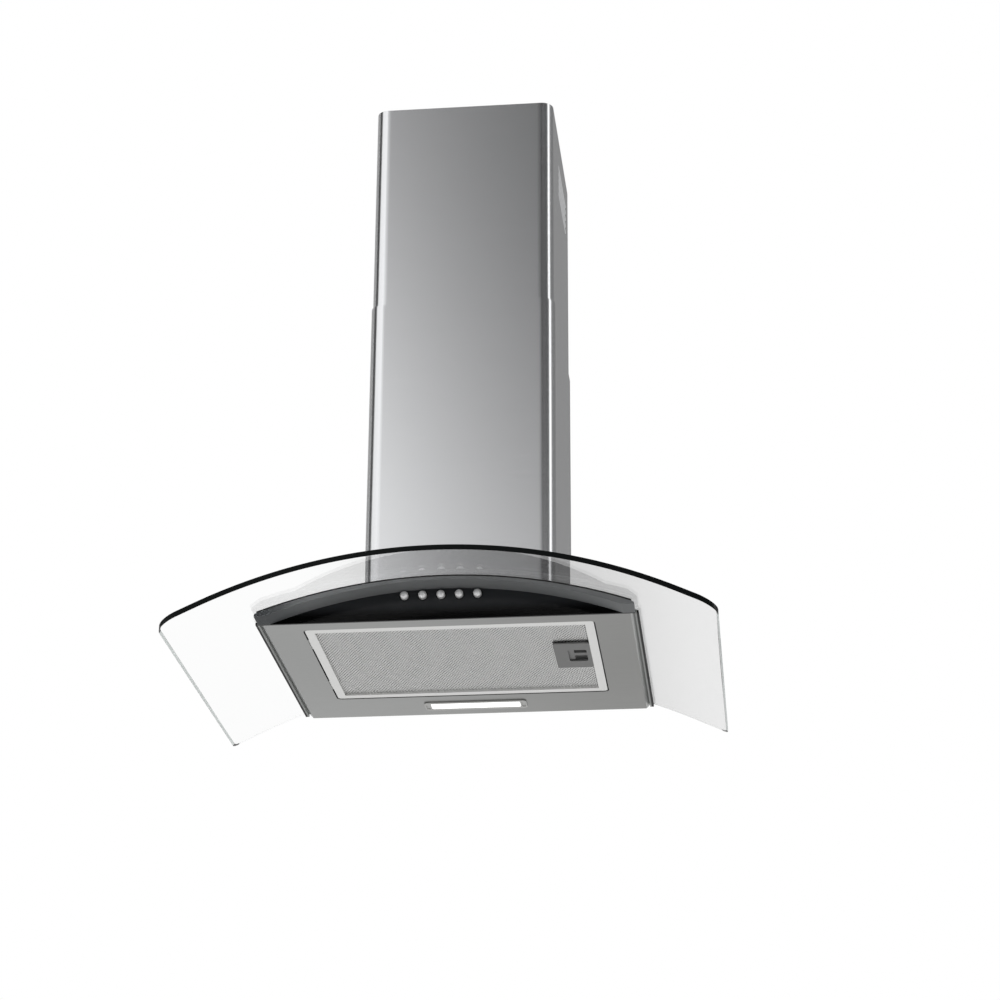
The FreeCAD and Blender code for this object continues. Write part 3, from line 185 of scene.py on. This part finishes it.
# Electrics: a control box and a capacitor in pale moulded cases, clipped to the housing, and
# two green circuit boards with their tracks, one behind the buttons and one over the lens.
pale = Finish("pale_moulding", {})
pale_grain = pale.noise((700, 700, 700))
pale.feed("Base Color", pale.blend(pale_grain, (0.66, 0.66, 0.64), (0.72, 0.72, 0.70)))
pale.feed("Roughness", 0.40 + 0.12 * pale_grain)
dress(pale, "control_box", "motor_capacitor")
board = Finish("circuit_board", {"Roughness": 0.35})
tracks = board.noise((260, 260, 260), 0)
board.feed("Base Color", board.blend(tracks, (0.010, 0.095, 0.045), (0.025, 0.20, 0.10)))
dress(board, "switch_board", "led_board")

# Gaskets: black rubber strips along the pan's sides and on the fascia's lip. Along the sides
# a pale strip is painted into the rubber next to the pan, as a painted highlight.
rubber = Finish("black_rubber", {"Specular IOR Level": 0.3})
rubber_grain = rubber.noise((500, 500, 500))
highlight_inner, highlight_outer, highlight_fade = 0.2068, 0.2098, 0.0004
off_centre = rubber.x.reckon("ABSOLUTE")
# painted highlight: a pale strip along each side gasket, next to the pan
painted_gasket_highlight = (off_centre.ramp(highlight_inner, highlight_inner + highlight_fade)
              * off_centre.ramp(highlight_outer, highlight_outer - highlight_fade))
rubber.feed("Base Color", rubber.blend(painted_gasket_highlight, (0.012, 0.012, 0.012), (0.42, 0.43, 0.42)))
rubber.feed("Roughness", 0.55 + 0.2 * rubber_grain)
rubber.emboss(rubber_grain, 0.00008)
dress(rubber, "glass_gaskets")


# Glass canopy: one bent sheet of toughened glass, cut out at the back for the blower housing and
# held under the clamp rails. Painted shade greys it from just left of its middle towards its right,
# easing by half towards the right end. Its front edge is near black, the rear edges are polished,
# and the ground side edges carry a painted glow for the light in the sheet.
def add_piece(name, points, faces, finishes, body):
    """Add a mesh whose faces are lists of point keys, each with the number of its finish."""
    numbers = {key: number for number, key in enumerate(points)}
    mesh = bpy.data.meshes.new(name)
    mesh.from_pydata(list(points.values()), [], [[numbers[key] for key in face] for face, _ in faces])
    for finish in finishes:
        mesh.materials.append(finish.material)
    mesh.polygons.foreach_set("material_index", [number for _, number in faces])
    shape = bmesh.new()
    shape.from_mesh(mesh)
    bmesh.ops.recalc_face_normals(shape, faces=shape.faces)
    shape.to_mesh(mesh)
    shape.free()
    piece = bpy.data.objects.new(name, mesh)
    bpy.context.scene.collection.objects.link(piece)
    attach(piece, body)
    return piece


def bevel(piece):
    """Take a small bevel off the edges that turn more than a quarter of a right angle."""
    edge = piece.modifiers.new("bevel", "BEVEL")
    edge.width, edge.segments, edge.harden_normals = 0.0005, 2, True
    edge.limit_method, edge.angle_limit = "ANGLE", math.pi / 8


glass_low, glass_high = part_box("glass_canopy")
glass_thickness, bend_radius, bend_half = 0.006, 0.610, 0.257
front_corner, rear_corner = 0.022, 0.005
notch_half, notch_front = 0.0955, -0.2145
corner_count, stretch_count, tolerance = 10, 30, 1e-6
bend_centre = glass_high.z - glass_thickness - bend_radius
bend_angle = math.asin(bend_half / bend_radius)


def sheet_height(x, radius):
    """Height of the sheet on a circle about the bend's centre, and beyond it on the straight wing."""
    beyond = abs(x) - radius * math.sin(bend_angle)
    if beyond > 0:
        return bend_centre + radius * math.cos(bend_angle) - beyond * math.tan(bend_angle)
    return bend_centre + math.sqrt(radius ** 2 - x ** 2)


def draw_back(x, radius):
    """How far the edge runs back at x, inside a rounded corner of that radius."""
    into = min(radius, max(0.0, abs(x) - glass_high.x + radius))
    return radius - math.sqrt(radius ** 2 - into ** 2)


def steps(start, end, count):
    """Even steps from the start up to the end, which is left out."""
    return [start + (end - start) * step / count for step in range(count)]


corner_start = glass_high.x - front_corner
corner_turns = steps(0, math.pi / 2, corner_count) + [math.pi / 2]
corner_columns = [corner_start + front_corner * math.sin(turn) for turn in corner_turns]
columns = [-x for x in reversed(corner_columns)][:-1]
for start, end in ((-corner_start, -notch_half), (-notch_half, notch_half), (notch_half, corner_start)):
    columns += steps(start, end, stretch_count)
columns += corner_columns
sheet, front_edge, rear_edge, side_edge = range(4)
sheet_points, sheet_faces = {}, []
for column, x in enumerate(columns):
    front, rear = glass_low.y + draw_back(x, front_corner), glass_high.y - draw_back(x, rear_corner)
    rows = (front, notch_front, rear) if abs(x) > notch_half - tolerance else (front, notch_front)
    for row, y in enumerate(rows):
        for face, radius in enumerate((bend_radius, bend_radius + glass_thickness)):
            sheet_points[column, row, face] = (x, y, sheet_height(x, radius))
for column in range(len(columns) - 1):
    following = column + 1
    in_notch = max(abs(columns[column]), abs(columns[following])) < notch_half + tolerance
    last_row = 1 if in_notch else 2
    for row in range(last_row):
        corners = [(column, row), (following, row), (following, row + 1), (column, row + 1)]
        for face in (0, 1):
            sheet_faces.append(([(*corner, face) for corner in corners], sheet))
    for row, edge in ((0, front_edge), (last_row, rear_edge)):
        wall = [(column, row, 0), (following, row, 0), (following, row, 1), (column, row, 1)]
        sheet_faces.append((wall, edge))
side_walls = [(0, 0), (0, 1), (len(columns) - 1, 0), (len(columns) - 1, 1)]
side_walls += [(column, 1) for column, x in enumerate(columns) if abs(abs(x) - notch_half) < tolerance]
for column, row in side_walls:
    wall = [(column, row, 0), (column, row + 1, 0), (column, row + 1, 1), (column, row, 1)]
    sheet_faces.append((wall, side_edge))
clear = Finish("clear_glass", {"IOR": 1.5, "Transmission Weight": 1, "Roughness": 0})
# painted shade: the glass greys from just left of its middle towards its right, easing by half at the
# right end
glass_shade_start, glass_shade_full, glass_shade_fade = -0.15, 0.06, 0.14
painted_glass_shade = clear.x.ramp(glass_shade_start, glass_shade_full) - 0.5 * clear.x.ramp(glass_shade_fade, glass_high.x)
clear.feed("Base Color", clear.blend(painted_glass_shade, (0.998, 1.0, 0.999), (0.63, 0.63, 0.63)))
ground_scales = (160, 160, 160)
dark_edge = Finish("dark_glass_edge", {"Base Color": (0.002, 0.003, 0.003, 1), "Specular IOR Level": 0.08})
dark_edge.feed("Roughness", 0.2 + 0.2 * dark_edge.noise(ground_scales))
clear_edge = Finish("clear_glass_edge", {"IOR": 1.5, "Transmission Weight": 1, "Roughness": 0})
clear_edge_grain = clear_edge.noise(ground_scales)
clear_edge.feed("Base Color", clear_edge.blend(clear_edge_grain, (0.87, 0.90, 0.89), (0.94, 0.96, 0.95)))
# painted glow: the pale ground side edges emit light, standing in for the light carried in the sheet
pale_edge_painted_glow = Finish("pale_glass_edge_painted_glow", {"Specular IOR Level": 0.3, "Emission Color": (0.95, 1.0, 0.98, 1),
                                       "Emission Strength": 0.32})
pale_edge_grain = pale_edge_painted_glow.noise(ground_scales)
pale_edge_painted_glow.feed("Base Color", pale_edge_painted_glow.blend(pale_edge_grain, (0.42, 0.45, 0.44), (0.50, 0.53, 0.52)))
pale_edge_painted_glow.feed("Roughness", 0.2 + 0.2 * pale_edge_grain)
glass_finishes = [clear, dark_edge, clear_edge, pale_edge_painted_glow]
canopy = add_piece("bent_glass", sheet_points, sheet_faces, glass_finishes, "hood")
canopy.data.shade_smooth()
canopy.data.set_sharp_from_angle(angle=math.pi / 6)
bevel(canopy)
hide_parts("glass_canopy")


# Pan: satin stainless sheet, brushed across, with cut-outs for the filter and the lamp, and
# painted shade that makes it lighter at its left and darker at its right. Its sides fold up into
# hems along the gaskets, which a painted highlight makes paler and less metallic, and it is
# screwed under the deck.
def soften_sheet(name):
    """Join a node's triangles into the flat faces that they fill, and bevel its edges."""
    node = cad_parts[name]
    node.modifiers.new("joined", "WELD").merge_threshold = 0.00001
    flats = node.modifiers.new("flats", "DECIMATE")
    flats.decimate_type, flats.angle_limit = "DISSOLVE", 0.002
    bevel(node)


satin = Finish("satin_steel", {"Metallic": 1, "Anisotropic": 0.4})
satin_grain = satin.noise((30, 2400, 2400))
# painted shade: the pan is lighter at its left and darker at its right, mixed with its brushing grain
painted_light_x, painted_shade_x = -0.2, 0.2
painted_shade_and_grain = 0.7 * satin.x.ramp(painted_light_x, painted_shade_x) + 0.3 * satin_grain
flat_tone_painted_shade = satin.blend(painted_shade_and_grain, (0.315, 0.32, 0.315), (0.20, 0.20, 0.193))
# painted highlight: the hems along the gaskets are paler and less metallic than the flat
hem_start, hem_end = 0.2029, 0.2034
painted_hem_highlight = satin.x.reckon("ABSOLUTE").ramp(hem_start, hem_end)
satin.feed("Base Color", satin.blend(painted_hem_highlight, flat_tone_painted_shade, (0.55, 0.56, 0.55)))
satin.feed("Metallic", 1 - 0.85 * painted_hem_highlight)
satin.feed("Roughness", 0.26 + 0.1 * satin_grain)
dress(satin, "bottom_pan")
soften_sheet("bottom_pan")

# Fascia: one black moulding, glossy on its face and satin on the lip that carries the glass,
# clipped to the pan's front. Painted shade darkens the lip towards its left end, and a painted
# reflection runs up the face from black at its foot to dark grey near its top. Five black rings
# are pressed into it round the buttons.
gloss = Finish("black_fascia", {"Specular IOR Level": 0.1})
ripple = gloss.noise((14, 14, 14))
pan_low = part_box("bottom_pan")[0]
face_stand, lip_stand = 0.0026, 0.0034
on_lip = gloss.y.ramp(pan_low.y - face_stand, pan_low.y - lip_stand)
# painted shade: the lip darkens towards its left end
painted_shade_end, painted_light_start = -0.2, -0.14
lip_painted_shading = gloss.x.ramp(painted_shade_end, painted_light_start)
lip_tone_painted_shade = gloss.blend(lip_painted_shading, (0.075, 0.08, 0.084), (0.22, 0.227, 0.231))
# painted reflection: the face goes from black at its foot to dark grey near its top
reflection_dark_rise, reflection_light_rise = 0.006, 0.021
face_painted_reflection = gloss.z.ramp(pan_low.z + reflection_dark_rise, pan_low.z + reflection_light_rise)
face_tone_painted_reflection = gloss.blend(face_painted_reflection, (0.0005, 0.0005, 0.0005), (0.034, 0.036, 0.039))
gloss.feed("Base Color", gloss.blend(on_lip, face_tone_painted_reflection, lip_tone_painted_shade))
gloss.feed("Roughness", 0.1 + 0.06 * ripple + 0.4 * on_lip)
dress(gloss, "front_fascia")
bezel = Finish("black_ring", {"Base Color": (0.003, 0.003, 0.003, 1)})
bezel.feed("Roughness", 0.1 + 0.1 * bezel.noise((300, 300, 300)))
dress(bezel, "button_bezels")

# Buttons: five plated plastic caps, each a dome with a shallow dish in its middle. They push
# into the fascia against the switches behind it.
dish_share, rim_share, dish_depth = 0.36, 0.5, 0.0003
for number in range(1, 6):
    cap_low, cap_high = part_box(f"button_{number}")
    cap_centre, cap_radius = (cap_low + cap_high) / 2, (cap_high.x - cap_low.x) / 2
    plated = Finish(f"silver_plating_{number}", {"Metallic": 0.25})
    off_x, off_z = plated.x - cap_centre.x, plated.z - cap_centre.z
    off_axis = (off_x * off_x + off_z * off_z).reckon("SQRT")
    dish = off_axis.ramp(rim_share * cap_radius, dish_share * cap_radius)
    plated_grain = plated.noise((900, 900, 900))
    plated.feed("Base Color", plated.blend(dish, (0.98, 0.98, 0.98), (0.86, 0.86, 0.87)))
    plated.feed("Roughness", 0.2 + 0.1 * plated_grain + 0.15 * dish)
    plated.emboss(dish, -dish_depth)
    dress(plated, f"button_{number}")

# Grease filter: an aluminium frame round layers of expanded aluminium mesh. The layer that
# shows is a net of slit and stretched strands. The layers behind it are drawn as flat plates,
# painted darker and with darker rims round their cells as painted shade deep in the mesh.
aluminium = Finish("filter_aluminium", {"Metallic": 1})
rolled = aluminium.noise((40, 1800, 1800))
aluminium.feed("Base Color", aluminium.blend(rolled, (0.66, 0.66, 0.65), (0.74, 0.74, 0.73)))
aluminium.feed("Roughness", 0.36 + 0.1 * rolled)
dress(aluminium, "filter_frame")
soften_sheet("filter_frame")
net = Finish("expanded_aluminium", {"Metallic": 1})
net_grain = net.noise((420, 420, 420))
net.feed("Base Color", net.blend(net_grain, (0.78, 0.78, 0.77), (0.89, 0.89, 0.88)))
net.feed("Roughness", 0.25 + 0.12 * net_grain)
packed = Finish("packed_mesh_layers", {"Metallic": 1})
# painted shade: the packed layers are darker than the net, with darker rims round their cells
layer_scale, light_depth, dark_depth = 420, 0.15, 0.6
layer_places = {"Vector": packed.place, "Scale": layer_scale}
layer_cells = Wire.add(packed.tree, "ShaderNodeTexVoronoi", {}, layer_places)
painted_layer_shade = layer_cells.ramp(light_depth, dark_depth)
packed.feed("Base Color", packed.blend(painted_layer_shade, (0.58, 0.58, 0.57), (0.37, 0.37, 0.37)))
packed.feed("Roughness", 0.4 + 0.2 * layer_cells)
packed.emboss(layer_cells, 0.0006)
mesh_low, mesh_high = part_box("filter_mesh")
plate_low, plate_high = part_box("latch_plate")
cell_x, cell_y = 0.0038, 0.0067
strand_half, strand_lift, strand_thickness = 0.00046, 0.0004, 0.0003
pack_lift, pack_thickness = 0.0014, 0.001
strand_low, pack_low = mesh_low.z + strand_lift, mesh_low.z + pack_lift
net_points, net_faces = {}, []
net_finish, packed_finish = range(2)


def rectangle(left, front, right, rear):
    """The four corners of a rectangle in plan."""
    return [Vector(corner) for corner in ((left, front), (right, front), (right, rear), (left, rear))]


def add_plate(points, faces, key, outline, low, thickness, finish):
    """Add a flat closed plate: its outline in plan, made solid from its low side up."""
    for level in (0, 1):
        for number, corner in enumerate(outline):
            points[*key, level, number] = (corner.x, corner.y, low + level * thickness)
        faces.append(([(*key, level, number) for number in range(len(outline))], finish))
    for number in range(len(outline)):
        following = (number + 1) % len(outline)
        side = [(0, number), (0, following), (1, following), (1, number)]
        faces.append(([(*key, *corner) for corner in side], finish))


def add_strand(column, row, slant):
    """One flat strand from a knot to the next, left out where it would pass under the catch."""
    start, end = (Vector((mesh_low.x + place * cell_x / 2, mesh_low.y + line * cell_y / 2))
                  for place, line in ((column, row), (column + 1, row + slant)))
    middle = (start + end) / 2
    in_catch = middle.x > plate_low.x and plate_low.y < middle.y < plate_high.y
    if in_catch or end.x > mesh_high.x or not mesh_low.y <= end.y <= mesh_high.y:
        return
    aside = (end - start).orthogonal().normalized() * strand_half
    outline = (start - aside, end - aside, end + aside, start + aside)
    key = (column, row, slant)
    add_plate(net_points, net_faces, key, outline, strand_low, strand_thickness, net_finish)


for column in range(int(2 * (mesh_high.x - mesh_low.x) / cell_x)):
    for row in range(column % 2, int(2 * (mesh_high.y - mesh_low.y) / cell_y), 2):
        for slant in (-1, 1):
            add_strand(column, row, slant)
packed_fields = [rectangle(mesh_low.x, mesh_low.y, plate_low.x, mesh_high.y),
                 rectangle(plate_low.x, mesh_low.y, mesh_high.x, plate_low.y),
                 rectangle(plate_low.x, plate_high.y, mesh_high.x, mesh_high.y)]
for field, outline in enumerate(packed_fields):
    add_plate(net_points, net_faces, ("packed", field), outline, pack_low, pack_thickness, packed_finish)
filter_net = add_piece("filter_net", net_points, net_faces, [net, packed], "filter")
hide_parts("filter_mesh")

# Catch: a grey moulded plate in the filter's right side, with a thumb piece that slides in its
# slot and a moulded back behind it.
catch = Finish("catch_grey", {"Roughness": 0.45})
catch_grain = catch.noise((800, 800, 800))
catch.feed("Base Color", catch.blend(catch_grain, (0.15, 0.15, 0.148), (0.18, 0.18, 0.175)))
dress(catch, "latch_plate", "filter_latch")
back_points, back_faces = {}, []
back_gap, back_thickness = 0.0005, 0.001
back_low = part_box("filter_latch")[1].z + back_gap
back_outline = rectangle(plate_low.x, plate_low.y, plate_high.x, plate_high.y)
add_plate(back_points, back_faces, ("back",), back_outline, back_low, back_thickness, 0)
add_piece("catch_back", back_points, back_faces, [catch], "filter")

# Lamp: a pressed steel trim, snapped into the pan's rear, round a frosted diffuser that shines
# evenly over its light board.
trim = Finish("lamp_trim", {"Metallic": 1})
trim_grain = trim.noise((40, 1500, 1500))
trim.feed("Base Color", trim.blend(trim_grain, (0.38, 0.38, 0.37), (0.44, 0.44, 0.43)))
trim.feed("Roughness", 0.36 + 0.1 * trim_grain)
dress(trim, "lamp_frame")
soften_sheet("lamp_frame")
lens = Finish("frosted_lens", {"Emission Color": (1, 1, 0.99, 1), "Emission Strength": 1.2})
frost = lens.noise((1200, 1200, 1200))
lens.feed("Base Color", lens.blend(frost, (0.86, 0.86, 0.85), (0.92, 0.92, 0.91)))
lens.feed("Roughness", 0.3 + 0.2 * frost)
lens.emboss(frost, 0.00005)
dress(lens, "lamp_lens")

# Flue covers: two channels of stainless sheet, brushed across and folded round their front
# corners. The upper one slides in the lower one. Each front rounds off a little before it folds.
fold_radius, fold_run, fold_slope = 0.010, 0.009, 0.25
for flue in ("lower_flue", "upper_flue"):
    brushing = {"Metallic": 1, "Anisotropic": 0.7, "Anisotropic Rotation": 0.25}
    brushed = Finish("brushed_steel_" + flue, brushing)
    hairline = brushed.noise((24, 24, 3600))
    brushed.feed("Base Color", brushed.blend(hairline, (0.57, 0.575, 0.585), (0.63, 0.635, 0.645)))
    brushed.feed("Roughness", 0.2 + 0.08 * hairline)
    bend_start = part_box(flue)[1].x - fold_radius - fold_run
    past_start = (brushed.x.reckon("ABSOLUTE") - bend_start).reckon("MAXIMUM", 0)
    brushed.emboss(past_start * past_start * (-fold_slope / (2 * fold_run)), 1)
    dress(brushed, flue)


# Floor: a pale painted sheet far under the hood, wide enough to reach the horizon. The camera,
# metal and glass see it paler than it is lit.
def add_backing(name, points, faces, finish, only_reflected=False):
    """Add a piece of the studio, which can be hidden from everything but reflections."""
    mesh = bpy.data.meshes.new(name)
    mesh.from_pydata(points, [], faces)
    mesh.materials.append(finish.material)
    backing = bpy.data.objects.new(name, mesh)
    bpy.context.scene.collection.objects.link(backing)
    backing.visible_camera = backing.visible_diffuse = not only_reflected
    backing.visible_shadow = backing.visible_transmission = not only_reflected


def seen_share(tree):
    """1 on the rays by which the camera, metal or glass sees a thing, and 0 on the others."""
    rays = Wire.add(tree, "ShaderNodeLightPath").socket.node.outputs
    seen = Wire(rays["Is Camera Ray"]) + Wire(rays["Is Glossy Ray"]) + Wire(rays["Is Transmission Ray"])
    return seen.reckon("MINIMUM", 1)


floor_drop, floor_half, pale_share = 3.4, 60.0, 0.8
ground = Finish("pale_floor", {"Roughness": 0.7})
ground_grain = ground.noise((3, 3, 3))
ground.feed("Base Color", ground.blend(ground_grain, (0.80, 0.80, 0.80), (0.84, 0.84, 0.84)))
paleness = Wire.add(ground.tree, "ShaderNodeEmission", {}, {"Color": (1, 1, 1, 1), "Strength": 1})
floor_shading = {0: pale_share * seen_share(ground.tree), 1: Wire(ground.shader.outputs[0]), 2: paleness}
floor_mix = Wire.add(ground.tree, "ShaderNodeMixShader", {}, floor_shading)
ground.tree.links.new(floor_mix.socket, ground.tree.nodes["Material Output"].inputs["Surface"])
floor_outline = rectangle(-floor_half, -floor_half, floor_half, floor_half)
floor_points = [(corner.x, corner.y, cad_low.z - floor_drop) for corner in floor_outline]
add_backing("floor", floor_points, [(0, 1, 2, 3)], ground)

# Reflector: a card before the flue, bright at its lower left and fading to the right and upwards.
# Only reflections show it, and it gives the flue's front its shading.
card_y, card_left, card_right, card_low, card_high = -1.1, -1.25, 0.55, 0.13, 1.7
bright_x, bright_z, bright_level, level_cap = -0.25, 0.19, 1.58, 1.45
fade_width, fade_height = 0.30, 0.90
fade_across, fade_upward, fade_slanting = -0.82, -1.2, -0.2
glow = Finish("card_glow", {"Base Color": (0, 0, 0, 1), "Roughness": 1, "Emission Strength": 1})
across = (glow.x - bright_x) * (1 / fade_width)
upward = (glow.z - bright_z) * (1 / fade_height)
fading = across * fade_across + upward * fade_upward + across * upward * fade_slanting
glow.feed("Emission Color", (fading.reckon("EXPONENT") * bright_level).reckon("MINIMUM", level_cap))
card_points = [(card_left, card_y, card_low), (card_right, card_y, card_low),
               (card_right, card_y, card_high), (card_left, card_y, card_high)]
add_backing("card", card_points, [(0, 1, 2, 3)], glow, only_reflected=True)

# Surround: a ring of grey and white cards round the hood, which only reflections show. Each level
# is a card's brightness at an angle from the front, and one pale card runs all round below them.
ring_radius, ring_low, ring_high, ring_sides = 3.0, -20.0, 3.5, 96
card_levels = [(-180, 0.3), (-150, 0.6), (-124, 0.75), (-118, 0.05), (-94, 0.05),
               (-86, 1.4), (-50, 1.4), (-30, 0.8), (-5, 0.2), (10, 0.09),
               (90, 0.09), (95, 2.0), (111, 2.0), (117, 0.26), (180, 0.3)]
low_card_top, low_card_fade, low_card_level = 0.55, 0.25, 0.9
cards = Finish("surround_cards", {"Base Color": (0, 0, 0, 1), "Roughness": 1, "Emission Strength": 1})
card_turn = cards.x.reckon("ARCTAN2", -1 * cards.y) * (0.5 / math.pi) + 0.5
card_stops = [(0.5 + angle / 360, (level, level, level)) for angle, level in card_levels]
card_tones = Wire.add(cards.tree, "ShaderNodeValToRGB", {"stops": card_stops}, {0: card_turn})
low_card = cards.z.ramp(low_card_top + low_card_fade, low_card_top)
cards.feed("Emission Color", cards.blend(low_card, card_tones, (low_card_level,) * 3))
ring_angles = [2 * math.pi * side / ring_sides for side in range(ring_sides)]
ring_points = [(ring_radius * math.sin(angle), ring_radius * math.cos(angle), z)
               for z in (ring_low, ring_high) for angle in ring_angles]
ring_faces = [(side, (side + 1) % ring_sides, ring_sides + (side + 1) % ring_sides, ring_sides + side)
              for side in range(ring_sides)]
add_backing("surround", ring_points, ring_faces, cards, only_reflected=True)

# Backdrop: white wherever the eye meets it, also through the glass and in reflections, and
# a plain soft light for what it shines on.
backdrop_light, backdrop_white = (0.45, 0.45, 0.45, 1), (1, 1, 1, 1)
world = bpy.data.worlds.new("studio")
bpy.context.scene.world = world
world.use_nodes = True
sky = world.node_tree
backdrop_tones = {0: seen_share(sky), 6: backdrop_light, 7: backdrop_white}
backdrop = Wire.add(sky, "ShaderNodeMix", {"data_type": "RGBA"}, backdrop_tones, output=2)
sky.links.new(backdrop.socket, sky.nodes["Background"].inputs["Color"])


# Lights: a large soft key light at the left and a weaker fill light at the right, both aimed at
# the hood's middle. They stay out of reflections, which the cards give.
def soft_light(name, place, aim, width, height, power):
    """Add a rectangular light that faces a point, with its size in metres and power in watts."""
    lamp = bpy.data.lights.new(name, "AREA")
    lamp.shape = "RECTANGLE"
    lamp.size, lamp.size_y, lamp.energy = width, height, power
    holder = bpy.data.objects.new(name, lamp)
    holder.location = place
    holder.rotation_euler = (Vector(aim) - Vector(place)).to_track_quat("-Z", "Y").to_euler()
    holder.visible_glossy = False
    bpy.context.scene.collection.objects.link(holder)


middle = (cad_low + cad_high) / 2
soft_light("key_light", (-2.4, -2.2, 1.6), middle, 1.6, 1.6, 60)
soft_light("fill_light", (2.6, -1.6, 0.6), middle, 1.2, 1.6, 20)

# Camera: below the hood's pan, looking up at it from the front, a little to the right, with a
# long lens. Its turns are in radians.
eye = Vector((0.3464, -2.9869, -1.1737))
yaw, pitch, roll = -0.1081, 0.4046, 0.0049
ahead = Vector((math.sin(yaw) * math.cos(pitch), math.cos(yaw) * math.cos(pitch), math.sin(pitch)))
level_right = Vector((math.cos(yaw), -math.sin(yaw), 0))
level_up = level_right.cross(ahead)
right = math.cos(roll) * level_right + math.sin(roll) * level_up
up = math.cos(roll) * level_up - math.sin(roll) * level_right
camera = bpy.data.objects.new("camera", bpy.data.cameras.new("camera"))
camera.data.lens = 93.3
camera.data.sensor_width = 36
turned_axes = Matrix((right, up, -ahead)).transposed().to_4x4()
camera.matrix_world = Matrix.Translation(eye) @ turned_axes
bpy.context.scene.collection.objects.link(camera)
bpy.context.scene.camera = camera
bpy.context.scene.view_settings.view_transform = "Standard"
